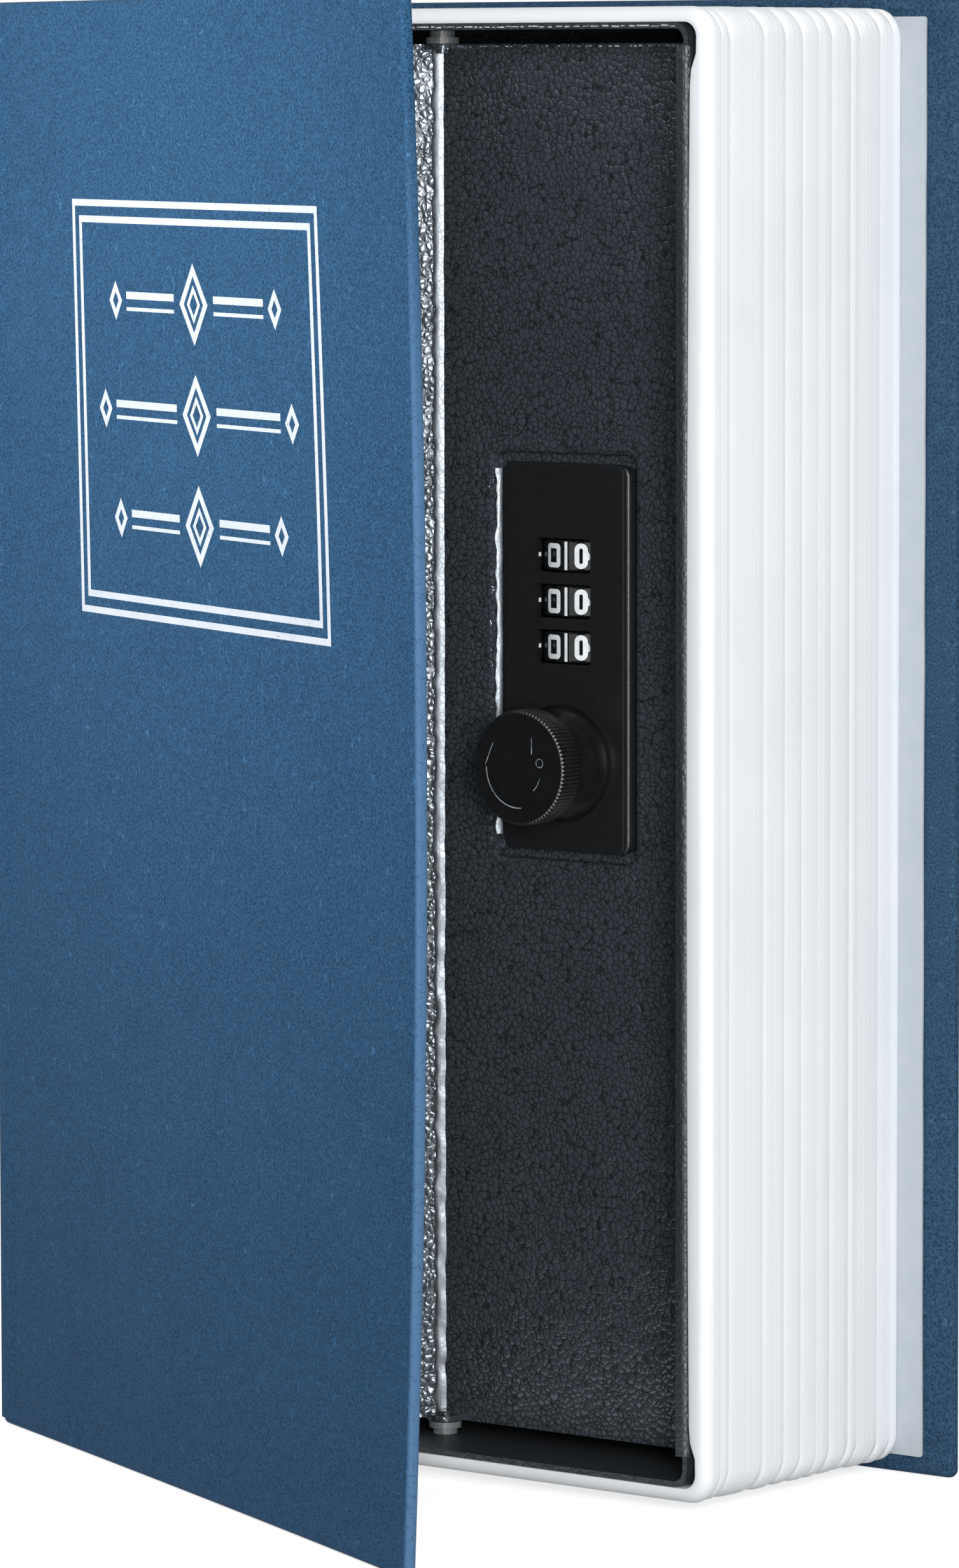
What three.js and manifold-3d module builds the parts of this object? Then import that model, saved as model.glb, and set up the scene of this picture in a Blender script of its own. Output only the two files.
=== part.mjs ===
// Book diversion safe: a dummy book with a steel box, a recessed door and a three-dial lock.
// Millimetres, +Z up, +X to the fore-edge, -Y to the front cover.
import * as THREE from "three";
import { mergeVertices } from "three/addons/utils/BufferGeometryUtils.js";
import Module from "manifold-3d";

const wasm = await Module();
wasm.setup();

// Book
const bookHeight = 240;
const coverWidth = 158.2;
const coverThick = 2;
const coverEdgeRound = 0.8;
const coverCornerRadius = 2.4;
const foreOverhang = 10.8;
const blockInset = 1.6;
const blockDepth = 52;
const coverGap = 1.2;
const restOpening = 24.6;
const spineBulge = 3;
const paperThick = 0.35;
const paperInset = 3;
const paperForeInset = 5.9;
const fitGap = 0.25;

// Page block shell
const rimWall = { fore: 3.75, top: 2.5, spine: 2 };
const rimRound = 2;
const blockCornerRadius = 4.5;
const leafShares = [0.07, 0.114, 0.287, 0.399, 0.486, 0.566, 0.638, 0.736, 0.785, 0.891, 0.961];
const leafGroove = 0.45;

// Steel box
const sheet = 0.9;
const boxFoldRadius = 3;
const lipReach = 1.4;
const lipShort = 4.1;
const fasciaEdge = 68;
const boxGap = 0.25;
const weldGap = 0.05;

// Door
const doorFace = 14.4;
const doorGapEnds = 2.2;
const doorFree = 6.2;
const flangeInner = 65.2;
const flangeLong = 11;
const flangeLean = 50;
const foldRadius = 2.4;
const edgeFoldRadius = 1;
const stiffener = 3;
const pivotFromFace = 1.6;
const pinRadius = 1.1;
const bushFlangeRadius = 2.7;
const bushBossRadius = 2.05;
const bushStep = 1.02;
const turnGap = 0.1;

// Lock
const plateCentre = 39.9;
const plateWidth = 24.8;
const plateHeight = 62.8;
const plateMiddle = 134;
const plateThick = 2;
const plateCorner = 1.4;
const plateWeb = 1.2;
const pocketMargin = { sides: 2, ends: 1.5 };
const pocketDeep = 1.9;
const pocketRound = 1;
const windowWidth = 11;
const windowHeight = 5.5;
const dialRadius = 8.5;
const dialThick = 5;
const dialProud = 0.35;
const dialFromEnd = 22.3;
const dialPitch = 7.4;
const dialHub = 3.5;
const dialGap = 0.4;
const axleRadius = 1.5;
const boreGap = 0.15;
const housingWall = 1.2;
const housingHalfWidth = 11;
const housingShort = 1.9;
const knobFromEnd = 14.3;
const knobRadius = 9.5;
const knobProud = 10.9;
const knobHead = 3.9;
const knobRibs = 36;
const neckRadius = 7.5;
const collarRadius = 9.5;
const collarBand = 1;
const spindleRadius = 3;
const camReach = 31;
const camWide = 10;
const camThick = 2;
const screwInset = 3.2;
const screwRadius = 1.2;
const changeRadius = 2;

// Keeper that the cam turns behind, and the rivets
const rivetRadius = 1.5;
const boxRivetInset = 15;
const keeperFinger = 8.5;
const keeperBase = 9;
const keeperThick = 1.4;
const keeperHeight = 24;
const keeperRivetPitch = 14;
const keeperClear = 1.2;

// Derived places, as distances from the fore-edge (s), behind the rim (d) and up (z)
const coverMid = coverThick / 2;
const foreX = coverWidth / 2 - foreOverhang;
const rimY = -coverMid - blockDepth;
const spineOuter = coverWidth - foreOverhang;
const spineInner = spineOuter - coverThick;
const hingeS = spineOuter - coverMid;
const hingeD = -coverGap - coverMid;
const blockTop = bookHeight - blockInset;
const blockSpine = spineInner - fitGap;
const blockBack = blockDepth - paperThick - 0.05;
const boxS = [rimWall.fore + boxGap, blockSpine - rimWall.spine - boxGap];
const boxZ = [blockInset + rimWall.top + boxGap - 0.2, blockTop - rimWall.top - boxGap + 0.2];
const boxBack = blockBack - 0.2;
const insideZ = [boxZ[0] + sheet, boxZ[1] - sheet];
const doorZ = [insideZ[0] + doorGapEnds, insideZ[1] - doorGapEnds];
const pivotS = flangeInner - pivotFromFace;
const pivotD = doorFace - pivotFromFace;
const plateFront = doorFace + pocketDeep - plateThick - 0.05;
const plateZ = [plateMiddle - plateHeight / 2, plateMiddle + plateHeight / 2];
const knobHeight = plateZ[0] + knobFromEnd;
const dialMiddle = plateZ[1] - dialFromEnd;
const housingEnds = [plateZ[0] + housingShort, plateZ[1] - housingShort];
const dialD = plateFront - dialProud + dialRadius;
const dialZ = [-1, 0, 1].map((n) => dialMiddle - n * dialPitch);
const housingFront = doorFace + sheet + pocketDeep + 0.05;
const housingBack = dialD + dialRadius + 1.8;
const screwZ = [plateZ[0] + screwInset, plateZ[1] - screwInset];
const camD = [housingBack + 1, housingBack + 1 + camThick];
const changeS = plateCentre - 5.5;
const changeZ = knobHeight + 8.5;
const wallInner = boxS[0] + sheet;
const boxRivetS = [boxS[0] + boxRivetInset, boxS[1] - boxRivetInset];
const boxRivetZ = [boxZ[0] + boxRivetInset, boxZ[1] - boxRivetInset];
const through = [-5, blockDepth + 5];
const keeperD = [camD[0] - keeperClear - keeperBase, camD[0] - keeperClear];
const keeperZ = [knobHeight - keeperHeight / 2, knobHeight + keeperHeight / 2];
const keeperRivetZ = [knobHeight - keeperRivetPitch / 2, knobHeight + keeperRivetPitch / 2];

// Materials
function material(name, color, roughness, metalness) {
  return new THREE.MeshStandardMaterial({ name, color, roughness, metalness });
}

const leatherette = material("blue leatherette", 0x1f4f9e, 0.6, 0);
const paper = material("grey endpaper", 0xc9cdd0, 0.9, 0);
const pagePlastic = material("white page plastic", 0xeff1f1, 0.5, 0);
const hammertone = material("hammertone powder coat", 0x3d4247, 0.45, 0.3);
const nylon = material("white nylon", 0xe9e9e4, 0.5, 0);
const zincSteel = material("zinc plated steel", 0xb4b7ba, 0.35, 1);
const blackPlastic = material("black satin plastic", 0x151618, 0.45, 0);
const springSteel = material("spring steel", 0x9a9da0, 0.3, 1);

// Solids
function toSolid(geometry) {
  const bare = geometry.clone();
  bare.deleteAttribute("normal");
  bare.deleteAttribute("uv");
  const merged = mergeVertices(bare, 1e-4);
  return new wasm.Manifold(new wasm.Mesh({
    numProp: 3,
    vertProperties: new Float32Array(merged.attributes.position.array),
    triVerts: new Uint32Array(merged.index.array),
  }));
}

function toMesh(name, solid, finish) {
  const data = solid.getMesh();
  const geometry = new THREE.BufferGeometry();
  const spots = data.vertProperties;
  geometry.setAttribute("position", new THREE.BufferAttribute(new Float32Array(spots), 3));
  geometry.setIndex(new THREE.BufferAttribute(new Uint32Array(data.triVerts), 1));
  const mesh = new THREE.Mesh(geometry, finish);
  mesh.name = name;
  return mesh;
}

function box(s, d, z) {
  const geometry = new THREE.BoxGeometry(s[1] - s[0], d[1] - d[0], z[1] - z[0]);
  geometry.translate(foreX - (s[0] + s[1]) / 2, rimY + (d[0] + d[1]) / 2, (z[0] + z[1]) / 2);
  return toSolid(geometry);
}

function barY(s, z, radius, d, sides = 28) {
  const geometry = new THREE.CylinderGeometry(radius, radius, d[1] - d[0], sides);
  geometry.translate(foreX - s, rimY + (d[0] + d[1]) / 2, z);
  return toSolid(geometry);
}

function barZ(s, d, radius, z, sides = 24) {
  const geometry = new THREE.CylinderGeometry(radius, radius, z[1] - z[0], sides);
  geometry.rotateX(Math.PI / 2);
  geometry.translate(foreX - s, rimY + d, (z[0] + z[1]) / 2);
  return toSolid(geometry);
}

function roundedRect(a0, a1, b0, b1, radius) {
  const shape = new THREE.Shape();
  shape.moveTo(a0 + radius, b0);
  shape.lineTo(a1 - radius, b0);
  shape.absarc(a1 - radius, b0 + radius, radius, -Math.PI / 2, 0, false);
  shape.lineTo(a1, b1 - radius);
  shape.absarc(a1 - radius, b1 - radius, radius, 0, Math.PI / 2, false);
  shape.lineTo(a0 + radius, b1);
  shape.absarc(a0 + radius, b1 - radius, radius, Math.PI / 2, Math.PI, false);
  shape.lineTo(a0, b0 + radius);
  shape.absarc(a0 + radius, b0 + radius, radius, Math.PI, 1.5 * Math.PI, false);
  return shape;
}

function facePlate(shape, d, round = 0, curve = 4) {
  const geometry = new THREE.ExtrudeGeometry(shape, {
    depth: d[1] - d[0] - 2 * round,
    curveSegments: curve,
    bevelEnabled: round > 0,
    bevelSize: round,
    bevelThickness: round,
    bevelOffset: -round,
    bevelSegments: 2,
  });
  geometry.rotateX(Math.PI / 2);
  geometry.translate(0, rimY + d[1] - round, 0);
  return toSolid(geometry);
}

function plateAt(s, z, d, radius, round = 0) {
  return facePlate(roundedRect(foreX - s[1], foreX - s[0], z[0], z[1], radius), d, round);
}

function column(points, z) {
  const shape = new THREE.Shape(points.map(([s, d]) => new THREE.Vector2(foreX - s, rimY + d)));
  const geometry = new THREE.ExtrudeGeometry(shape, { depth: z[1] - z[0], bevelEnabled: false });
  geometry.translate(0, 0, z[0]);
  return toSolid(geometry);
}

function join(solids) {
  return solids.reduce((all, next) => all.add(next));
}

function cut(solid, tools) {
  return tools.reduce((all, next) => all.subtract(next), solid);
}

// Points of an arc about (s, d) between two angles in degrees
function arcPoints(s, d, radius, from, to, steps = 5) {
  return Array.from({ length: steps + 1 }, (_, n) => {
    const angle = THREE.MathUtils.degToRad(from + ((to - from) * n) / steps);
    return [s + radius * Math.cos(angle), d + radius * Math.sin(angle)];
  });
}

// Covers
function coverBoard(d) {
  const s = [-foreOverhang, spineOuter];
  return plateAt(s, [0, bookHeight], d, coverCornerRadius, coverEdgeRound);
}

function coverPaper(d) {
  const s = [-foreOverhang + paperForeInset, spineInner - 1];
  return plateAt(s, [paperInset, bookHeight - paperInset], d, 0.6);
}

function openCover(solid) {
  const x = foreX - hingeS;
  const y = rimY + hingeD;
  return solid.translate([-x, -y, 0]).rotate([0, 0, -restOpening]).translate([x, y, 0]);
}

function frontCover() {
  const outer = -coverGap - coverThick;
  return openCover(coverBoard([outer, -coverGap]));
}

function frontPaper() {
  return openCover(coverPaper([-coverGap + 0.02, -coverGap + 0.02 + paperThick]));
}

function spineBoard() {
  const front = -coverGap + 0.7;
  const back = blockDepth - fitGap;
  const half = (back - front) / 2;
  const radius = (half * half + spineBulge * spineBulge) / (2 * spineBulge);
  const middle = (front + back) / 2;
  const centre = spineOuter + spineBulge - radius;
  const sweep = THREE.MathUtils.radToDeg(Math.asin(half / radius));
  const outer = arcPoints(centre, middle, radius, -sweep, sweep, 14);
  const inner = arcPoints(centre, middle, radius - coverThick, sweep, -sweep, 14);
  return column([...outer, ...inner], [0, bookHeight]);
}

// Page block
function blockRing() {
  const r = blockCornerRadius;
  const x = [foreX - blockSpine + r, foreX - r];
  const z = [blockInset + r, blockTop - r];
  const corners = [
    [x[1], z[1], 0, 1, 1],
    [x[0], z[1], 90, 1, 0],
    [x[0], z[0], 180, 0, 1],
    [x[1], z[0], 270, 1, 1],
  ];
  const ring = [];
  for (const [cx, cz, start, first, last] of corners) {
    for (let n = 0; n <= 4; n += 1) {
      const angle = THREE.MathUtils.degToRad(start + 22.5 * n);
      ring.push({ cx, cz, angle, cuts: first + ((last - first) * n) / 4 });
    }
  }
  return ring;
}

function blockStations() {
  const stations = [];
  for (let n = 0; n <= 4; n += 1) {
    const angle = (n / 4) * (Math.PI / 2);
    stations.push({ d: rimRound * (1 - Math.cos(angle)), inset: rimRound * (1 - Math.sin(angle)), cuts: 0 });
  }
  const stops = [...leafShares, 1].map((share) => share * blockBack);
  let last = rimRound;
  for (const stop of stops) {
    for (let n = 1; n <= 5; n += 1) {
      const t = n / 5;
      const rise = last === rimRound ? Math.cos((t * Math.PI) / 2) : Math.sin(t * Math.PI);
      stations.push({ d: last + (stop - last) * t, inset: 0, cuts: leafGroove * (1 - rise) });
    }
    last = stop;
  }
  return stations;
}

function blockOuter() {
  const ring = blockRing();
  const stations = blockStations();
  const spots = [];
  for (const { d, inset, cuts } of stations) {
    for (const { cx, cz, angle, cuts: share } of ring) {
      const reach = blockCornerRadius - inset - cuts * share;
      spots.push(cx + reach * Math.cos(angle), rimY + d, cz + reach * Math.sin(angle));
    }
  }
  const faces = [];
  const count = ring.length;
  for (let row = 0; row + 1 < stations.length; row += 1) {
    for (let n = 0; n < count; n += 1) {
      const a = row * count + n;
      const b = row * count + ((n + 1) % count);
      faces.push(a, a + count, b, b, a + count, b + count);
    }
  }
  const lastRow = (stations.length - 1) * count;
  for (let n = 1; n + 1 < count; n += 1) {
    faces.push(0, n, n + 1);
    faces.push(lastRow, lastRow + n + 1, lastRow + n);
  }
  const geometry = new THREE.BufferGeometry();
  geometry.setAttribute("position", new THREE.Float32BufferAttribute(spots, 3));
  geometry.setIndex(faces);
  return toSolid(geometry);
}

function pageBlock() {
  const s = [rimWall.fore, blockSpine - rimWall.spine];
  const z = [blockInset + rimWall.top, blockTop - rimWall.top];
  const inner = plateAt(s, z, [-1, blockDepth + 1], boxFoldRadius - 0.9);
  return blockOuter().subtract(inner);
}

// Steel box: folded walls with the latch-side lip, a back, and a fixed front on the spine side
function boxOutline() {
  return plateAt(boxS, boxZ, [0, boxBack], boxFoldRadius - boxGap);
}

// Space inside the walls, less a gap all round
function boxInside(d, gap = 0) {
  const s = [boxS[0] + sheet + gap, boxS[1] - sheet - gap];
  return plateAt(s, [insideZ[0] + gap, insideZ[1] - gap], d, boxFoldRadius - boxGap - sheet - gap);
}

function lipFold(solid) {
  const fold = sheet + 0.4;
  const z = [insideZ[0] + lipShort, insideZ[1] - lipShort + 1.4];
  const lip = box([boxS[0] + 0.2, boxS[0] + sheet + lipReach], [0, sheet], z);
  const corner = box([boxS[0] - 1, boxS[0] + fold], [-1, fold], z);
  const round = barZ(boxS[0] + fold, fold, fold, z, 24);
  return solid.add(lip).subtract(corner.subtract(round));
}

function boxBand() {
  const holes = [];
  for (const z of keeperRivetZ) {
    holes.push(rivetHole([boxS[0] - 1, boxS[0] + 3], keeperD[0] + keeperBase / 2, z));
  }
  for (const z of [insideZ[0], insideZ[1]]) {
    holes.push(barZ(pivotS, pivotD, pinRadius + 0.1, [z - 2, z + 2], 24));
  }
  return cut(lipFold(boxOutline().subtract(boxInside([-1, boxBack + 1]))), holes);
}

function boxBackPlate() {
  const holes = [];
  for (const z of boxRivetZ) {
    for (const s of boxRivetS) {
      holes.push(barY(s, z, rivetRadius + boreGap, [boxBack - 3, boxBack + 1], 20));
    }
  }
  return cut(boxInside([boxBack - sheet, boxBack], weldGap), holes);
}

function boxFrontPlate() {
  const side = box([fasciaEdge, boxS[1]], [-1, sheet + 1], boxZ);
  return boxInside([0, sheet], weldGap).intersect(side);
}

// Keeper, riveted to the fore-edge wall

function rivetHole(s, d, z, radius = rivetRadius + boreGap) {
  const geometry = new THREE.CylinderGeometry(radius, radius, s[1] - s[0], 20);
  geometry.rotateZ(Math.PI / 2);
  geometry.translate(foreX - (s[0] + s[1]) / 2, rimY + d, z);
  return toSolid(geometry);
}

function keeper() {
  const s0 = wallInner + 0.05;
  const base = box([s0, s0 + keeperThick], keeperD, keeperZ);
  const finger = box([s0, s0 + keeperFinger], [keeperD[1] - keeperThick, keeperD[1]], keeperZ);
  const fold = box([s0, s0 + 2.2], [keeperD[1] - 2.2, keeperD[1]], keeperZ);
  const holes = keeperRivetZ.map((z) => rivetHole([0, 12], keeperD[0] + keeperBase / 2, z));
  const corner = fold.subtract(barZ(s0 + 2.2, keeperD[1] - 2.2, 0.8, [0, bookHeight], 20));
  return cut(join([base, finger, corner.intersect(fold)]), holes);
}

function keeperRivet(z) {
  const d = keeperD[0] + keeperBase / 2;
  const shank = rivetHole([boxS[0] + 0.05, wallInner + keeperThick + 0.3], d, z, rivetRadius);
  const s = wallInner + keeperThick + 0.12;
  const head = new THREE.LatheGeometry([[0, 0], [2.6, 0], [2.3, 0.5], [1.3, 0.9], [0, 1]].map(toVector), 20);
  head.rotateZ(Math.PI / 2);
  head.translate(foreX - s, rimY + d, z);
  return shank.add(toSolid(head));
}

function toVector([a, b]) {
  return new THREE.Vector2(a, b);
}

function boxRivet(s, z) {
  const front = boxBack - sheet - 0.07;
  const profile = [[0, 0], [rivetRadius, 0], [rivetRadius, -sheet], [3, -sheet], [2.6, -sheet - 0.6]];
  const points = [...profile, [1.5, -sheet - 1.05], [0, -sheet - 1.2]].reverse().map(toVector);
  const geometry = new THREE.LatheGeometry(points, 20);
  geometry.translate(foreX - s, rimY + front + sheet, z);
  return toSolid(geometry);
}

// Door hinge
function hingePin(side) {
  const end = side > 0 ? insideZ[1] + sheet - 0.05 : insideZ[0] - sheet + 0.05;
  const tip = side > 0 ? doorZ[1] - sheet - 0.6 : doorZ[0] + sheet + 0.6;
  return barZ(pivotS, pivotD, pinRadius, [Math.min(end, tip), Math.max(end, tip)], 24);
}

function hingeBush(side) {
  const wall = side > 0 ? insideZ[1] : insideZ[0];
  const boss = [wall - side * 0.06, wall - side * bushStep - side * 0.06];
  const flange = [boss[1], boss[1] - side * bushStep];
  const order = (pair) => [Math.min(...pair), Math.max(...pair)];
  const bore = barZ(pivotS, pivotD, pinRadius + turnGap, [0, bookHeight], 24);
  const upper = barZ(pivotS, pivotD, bushBossRadius, order(boss));
  const lower = barZ(pivotS, pivotD, bushFlangeRadius, order(flange));
  return upper.add(lower).subtract(bore);
}

// Door: one folded sheet with a forward flange, a stiffening fold and two pivot ears
function doorProfile() {
  const lean = THREE.MathUtils.degToRad(flangeLean);
  const cs = flangeInner - foldRadius * Math.tan((Math.PI / 2 - lean) / 2);
  const cd = doorFace - foldRadius;
  const tip = [flangeInner + flangeLong * Math.sin(lean), doorFace - flangeLong * Math.cos(lean)];
  const outer = edgeFoldRadius + sheet;
  const edge = doorFree + outer;
  const backD = doorFace + outer;
  return [
    tip,
    ...arcPoints(cs, cd, foldRadius, flangeLean, 90),
    ...arcPoints(edge, backD, outer, 270, 180),
    [doorFree, backD + stiffener],
    [doorFree + sheet, backD + stiffener],
    ...arcPoints(edge, backD, edgeFoldRadius, 180, 270),
    ...arcPoints(cs, cd, foldRadius + sheet, 90, flangeLean),
    [tip[0] + sheet * Math.cos(lean), tip[1] + sheet * Math.sin(lean)],
  ];
}

function doorEar(side) {
  const z = side > 0 ? [doorZ[1] - sheet, doorZ[1]] : [doorZ[0], doorZ[0] + sheet];
  const round = barZ(pivotS, pivotD, bushFlangeRadius - 0.3, z, 28);
  const half = bushFlangeRadius - 0.5;
  const web = box([pivotS, flangeInner + 0.4], [pivotD - half, doorFace + 0.4], z);
  const back = box([pivotS - half, flangeInner], [pivotD, doorFace + 0.4], z);
  const hole = barZ(pivotS, pivotD, pinRadius + turnGap, [z[0] - 1, z[1] + 1], 24);
  return join([round, web, back]).subtract(hole);
}

function pocketOutline(grow) {
  const half = plateWidth / 2 + pocketMargin.sides + grow;
  const s = [plateCentre - half, plateCentre + half];
  return [s, [plateZ[0] - pocketMargin.ends - grow, plateZ[1] + pocketMargin.ends + grow]];
}

// One slope of the eased edge that runs round the mouth of the pocket
function pocketSlope(grow, depth) {
  const [s, z] = pocketOutline(grow);
  const shape = roundedRect(foreX - s[1], foreX - s[0], z[0], z[1], 2 + grow);
  const geometry = new THREE.ExtrudeGeometry(shape, {
    depth: 1,
    curveSegments: 5,
    bevelSize: grow,
    bevelThickness: depth,
    bevelOffset: -grow,
    bevelSegments: 1,
  });
  geometry.rotateX(Math.PI / 2);
  geometry.translate(0, rimY + doorFace, 0);
  return toSolid(geometry);
}

function doorPanel() {
  const sheetBody = column(doorProfile(), doorZ);
  const back = doorFace + sheet;
  const press = plateAt(...pocketOutline(sheet), [back - 0.2, back + pocketDeep], 2.9, 0.5);
  const pocket = plateAt(...pocketOutline(0), [doorFace - 1, doorFace + pocketDeep], 2);
  const slopes = [pocketSlope(pocketRound, pocketRound * 0.35), pocketSlope(pocketRound * 0.35, pocketRound)];
  const half = windowWidth / 2 + 2.6;
  const dialHole = [dialZ[2] - 5, dialZ[0] + 5];
  const slot = plateAt([plateCentre - half, plateCentre + half], dialHole, through, 1.5);
  const spindleHole = barY(plateCentre, knobHeight, spindleRadius + 3, through);
  const posts = screwZ.map((z) => barY(plateCentre, z, screwRadius + 1.4, through, 24));
  const body = join([sheetBody, doorEar(1), doorEar(-1), press]);
  return cut(body, [pocket, ...slopes, slot, spindleHole, ...posts]);
}

// Lock
function lockPlate() {
  const s = [plateCentre - plateWidth / 2, plateCentre + plateWidth / 2];
  const d = [plateFront, plateFront + plateThick];
  const body = plateAt(s, plateZ, d, plateCorner, 0.35);
  const half = windowWidth / 2;
  const roomS = [plateCentre - half - 1.1, plateCentre + half + 1.1];
  const room = box(roomS, [plateFront + plateWeb, through[1]], [dialZ[2] - 3.4, dialZ[0] + 3.4]);
  const windows = dialZ.map((z) => {
    const tall = [z - windowHeight / 2, z + windowHeight / 2];
    return plateAt([plateCentre - half, plateCentre + half], tall, through, 0.5);
  });
  const postEnd = housingFront - 0.05;
  const posts = screwZ.map((z) => barY(plateCentre, z, screwRadius + 1.2, [d[1] - 0.2, postEnd], 24));
  const threads = screwZ.map((z) => barY(plateCentre, z, screwRadius + 0.05, [d[1] + 0.2, through[1]], 20));
  const spindleHole = barY(plateCentre, knobHeight, spindleRadius + boreGap, through);
  return cut(join([body, ...posts]), [...windows, room, ...threads, spindleHole]);
}

function lockHousing() {
  const half = housingHalfWidth;
  const s = [plateCentre - half, plateCentre + half];
  const body = plateAt(s, housingEnds, [housingFront, housingBack], 2);
  const inS = [s[0] + housingWall, s[1] - housingWall];
  const bayZ = [dialZ[2] - dialHub - 0.4, dialZ[0] + dialHub + 0.4];
  const bay = plateAt(inS, bayZ, [0, housingBack - housingWall], 1);
  const lower = plateAt(inS, [knobHeight - 6.5, bayZ[0] - 2], [0, housingBack - 6], 1);
  const spindleHole = barY(plateCentre, knobHeight, spindleRadius + boreGap, through);
  const axleHole = barZ(plateCentre, dialD, axleRadius + 0.05, [bayZ[0] - 1.4, bayZ[1] + 1.4], 24);
  const screws = screwZ.map((z) => barY(plateCentre, z, screwRadius + boreGap, through, 20));
  const headRoom = [housingFront + 3, through[1]];
  const heads = screwZ.map((z) => barY(plateCentre, z, screwRadius + 1.6, headRoom, 24));
  const changeDepth = [housingBack - housingWall - 1, through[1]];
  const change = barY(changeS, changeZ, changeRadius + boreGap, changeDepth, 24);
  return cut(body, [bay, lower, spindleHole, axleHole, change, ...screws, ...heads]);
}

function changeScrew() {
  const body = barY(changeS, changeZ, changeRadius, [housingBack - 1.9, housingBack - 0.2], 24);
  const slotZ = [changeZ - 0.4, changeZ + 0.4];
  const slot = box([changeS - 3, changeS + 3], [housingBack - 1, housingBack + 1], slotZ);
  return body.subtract(slot);
}

function housingScrew(z) {
  const head = housingFront + 3.05;
  const shank = barY(plateCentre, z, screwRadius, [plateFront + plateThick + 0.35, head + 0.5], 20);
  const cap = barY(plateCentre, z, screwRadius + 1.2, [head, head + 1.4], 24);
  const slot = box([plateCentre - 4, plateCentre + 4], [head + 0.8, head + 3], [z - 0.3, z + 0.3]);
  return shank.add(cap).subtract(slot);
}

function dialShape() {
  const shape = new THREE.Shape();
  const grips = 10;
  for (let n = 0; n < grips * 4; n += 1) {
    const angle = ((n + 2) / (grips * 4)) * 2 * Math.PI;
    const groove = n % 4 === 0 ? 0.4 : 0;
    const point = [(dialRadius - groove) * Math.sin(angle), -(dialRadius - groove) * Math.cos(angle)];
    if (n === 0) shape.moveTo(...point);
    else shape.lineTo(...point);
  }
  return shape;
}

function dial(z) {
  const geometry = new THREE.ExtrudeGeometry(dialShape(), {
    depth: dialThick - 0.6,
    bevelSize: 0.3,
    bevelThickness: 0.3,
    bevelOffset: -0.3,
    bevelSegments: 1,
  });
  geometry.translate(foreX - plateCentre, rimY + dialD, z - dialThick / 2 + 0.3);
  const hub = barZ(plateCentre, dialD, 4, [z - dialHub, z + dialHub]);
  const bore = barZ(plateCentre, dialD, axleRadius + boreGap, [z - 9, z + 9], 24);
  return toSolid(geometry).add(hub).subtract(bore);
}

function dialAxle() {
  const reach = dialHub + 1.6;
  return barZ(plateCentre, dialD, axleRadius, [dialZ[2] - reach, dialZ[0] + reach], 24);
}

function detentSpring() {
  const s0 = plateCentre - housingHalfWidth + housingWall + 0.1;
  const d = [dialD - 5, dialD + 5];
  const spine = box([s0, s0 + 0.4], [d[1] - 2, d[1]], [dialZ[2] - 2.6, dialZ[0] + 2.6]);
  const fingers = dialZ.map((z) => box([s0, s0 + 0.4], d, [z - 1.5, z + 1.5]));
  const noses = dialZ.map((z) => barZ(s0 + 0.2, dialD, 0.45, [z - 1.5, z + 1.5], 16));
  const trimmed = noses.map((nose) => nose.intersect(box([s0, s0 + 2], d, [0, bookHeight])));
  return join([spine, ...fingers, ...trimmed]);
}

// Knob, spindle and cam
function gripShape() {
  const shape = new THREE.Shape();
  for (let n = 0; n < knobRibs * 2; n += 1) {
    const angle = (n / knobRibs) * Math.PI;
    const radius = n % 2 === 0 ? knobRadius - 0.35 : knobRadius;
    const point = [radius * Math.cos(angle), radius * Math.sin(angle)];
    if (n === 0) shape.moveTo(...point);
    else shape.lineTo(...point);
  }
  return shape;
}

function knob() {
  const front = plateFront - knobProud;
  const grip = facePlate(gripShape(), [front, front + knobHead], 0.4, 1);
  const head = grip.translate([foreX - plateCentre, 0, knobHeight]);
  const socket = barY(plateCentre, knobHeight, spindleRadius + 0.05, [front + 4, plateFront + 1]);
  return cut(head.add(knobCollar(front + knobHead)), [socket, ...knobMark(front)]);
}

// Waisted neck that swells to the collar
function knobCollar(start) {
  const back = plateFront - 0.15;
  const band = back - collarBand;
  const points = [[0, start - 0.4], [neckRadius, start - 0.4]];
  for (let n = 0; n <= 7; n += 1) {
    const swell = (1 - Math.cos((n / 7) * Math.PI)) / 2;
    const d = start + 0.6 + ((band - start - 0.6) * n) / 7;
    points.push([neckRadius + (collarRadius - neckRadius) * swell, d]);
  }
  points.push([collarRadius, back - 0.2], [collarRadius - 0.2, back], [0, back]);
  const geometry = new THREE.LatheGeometry(points.map(toVector), 40);
  geometry.translate(foreX - plateCentre, rimY, knobHeight);
  return toSolid(geometry);
}

// Turning arrow and index tick, cut into the face
function knobMark(front) {
  const d = [front - 1, front + 0.25];
  const arc = new THREE.Shape();
  arc.absarc(0, 0, 6.7, Math.PI, 1.55 * Math.PI, false);
  arc.absarc(0, 0, 6.2, 1.55 * Math.PI, Math.PI, true);
  const barb = new THREE.Shape([[-6.8, 0.6], [-6.3, 0.4], [-4.9, 4], [-5.4, 4.2]].map(toVector));
  const tick = new THREE.Shape([[2.4, 2.6], [2.8, 2.6], [2.8, 5.3], [2.4, 5.3]].map(toVector));
  const place = [foreX - plateCentre, 0, knobHeight];
  return [arc, barb, tick].map((shape) => facePlate(shape, d, 0, 12).translate(place));
}

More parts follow.
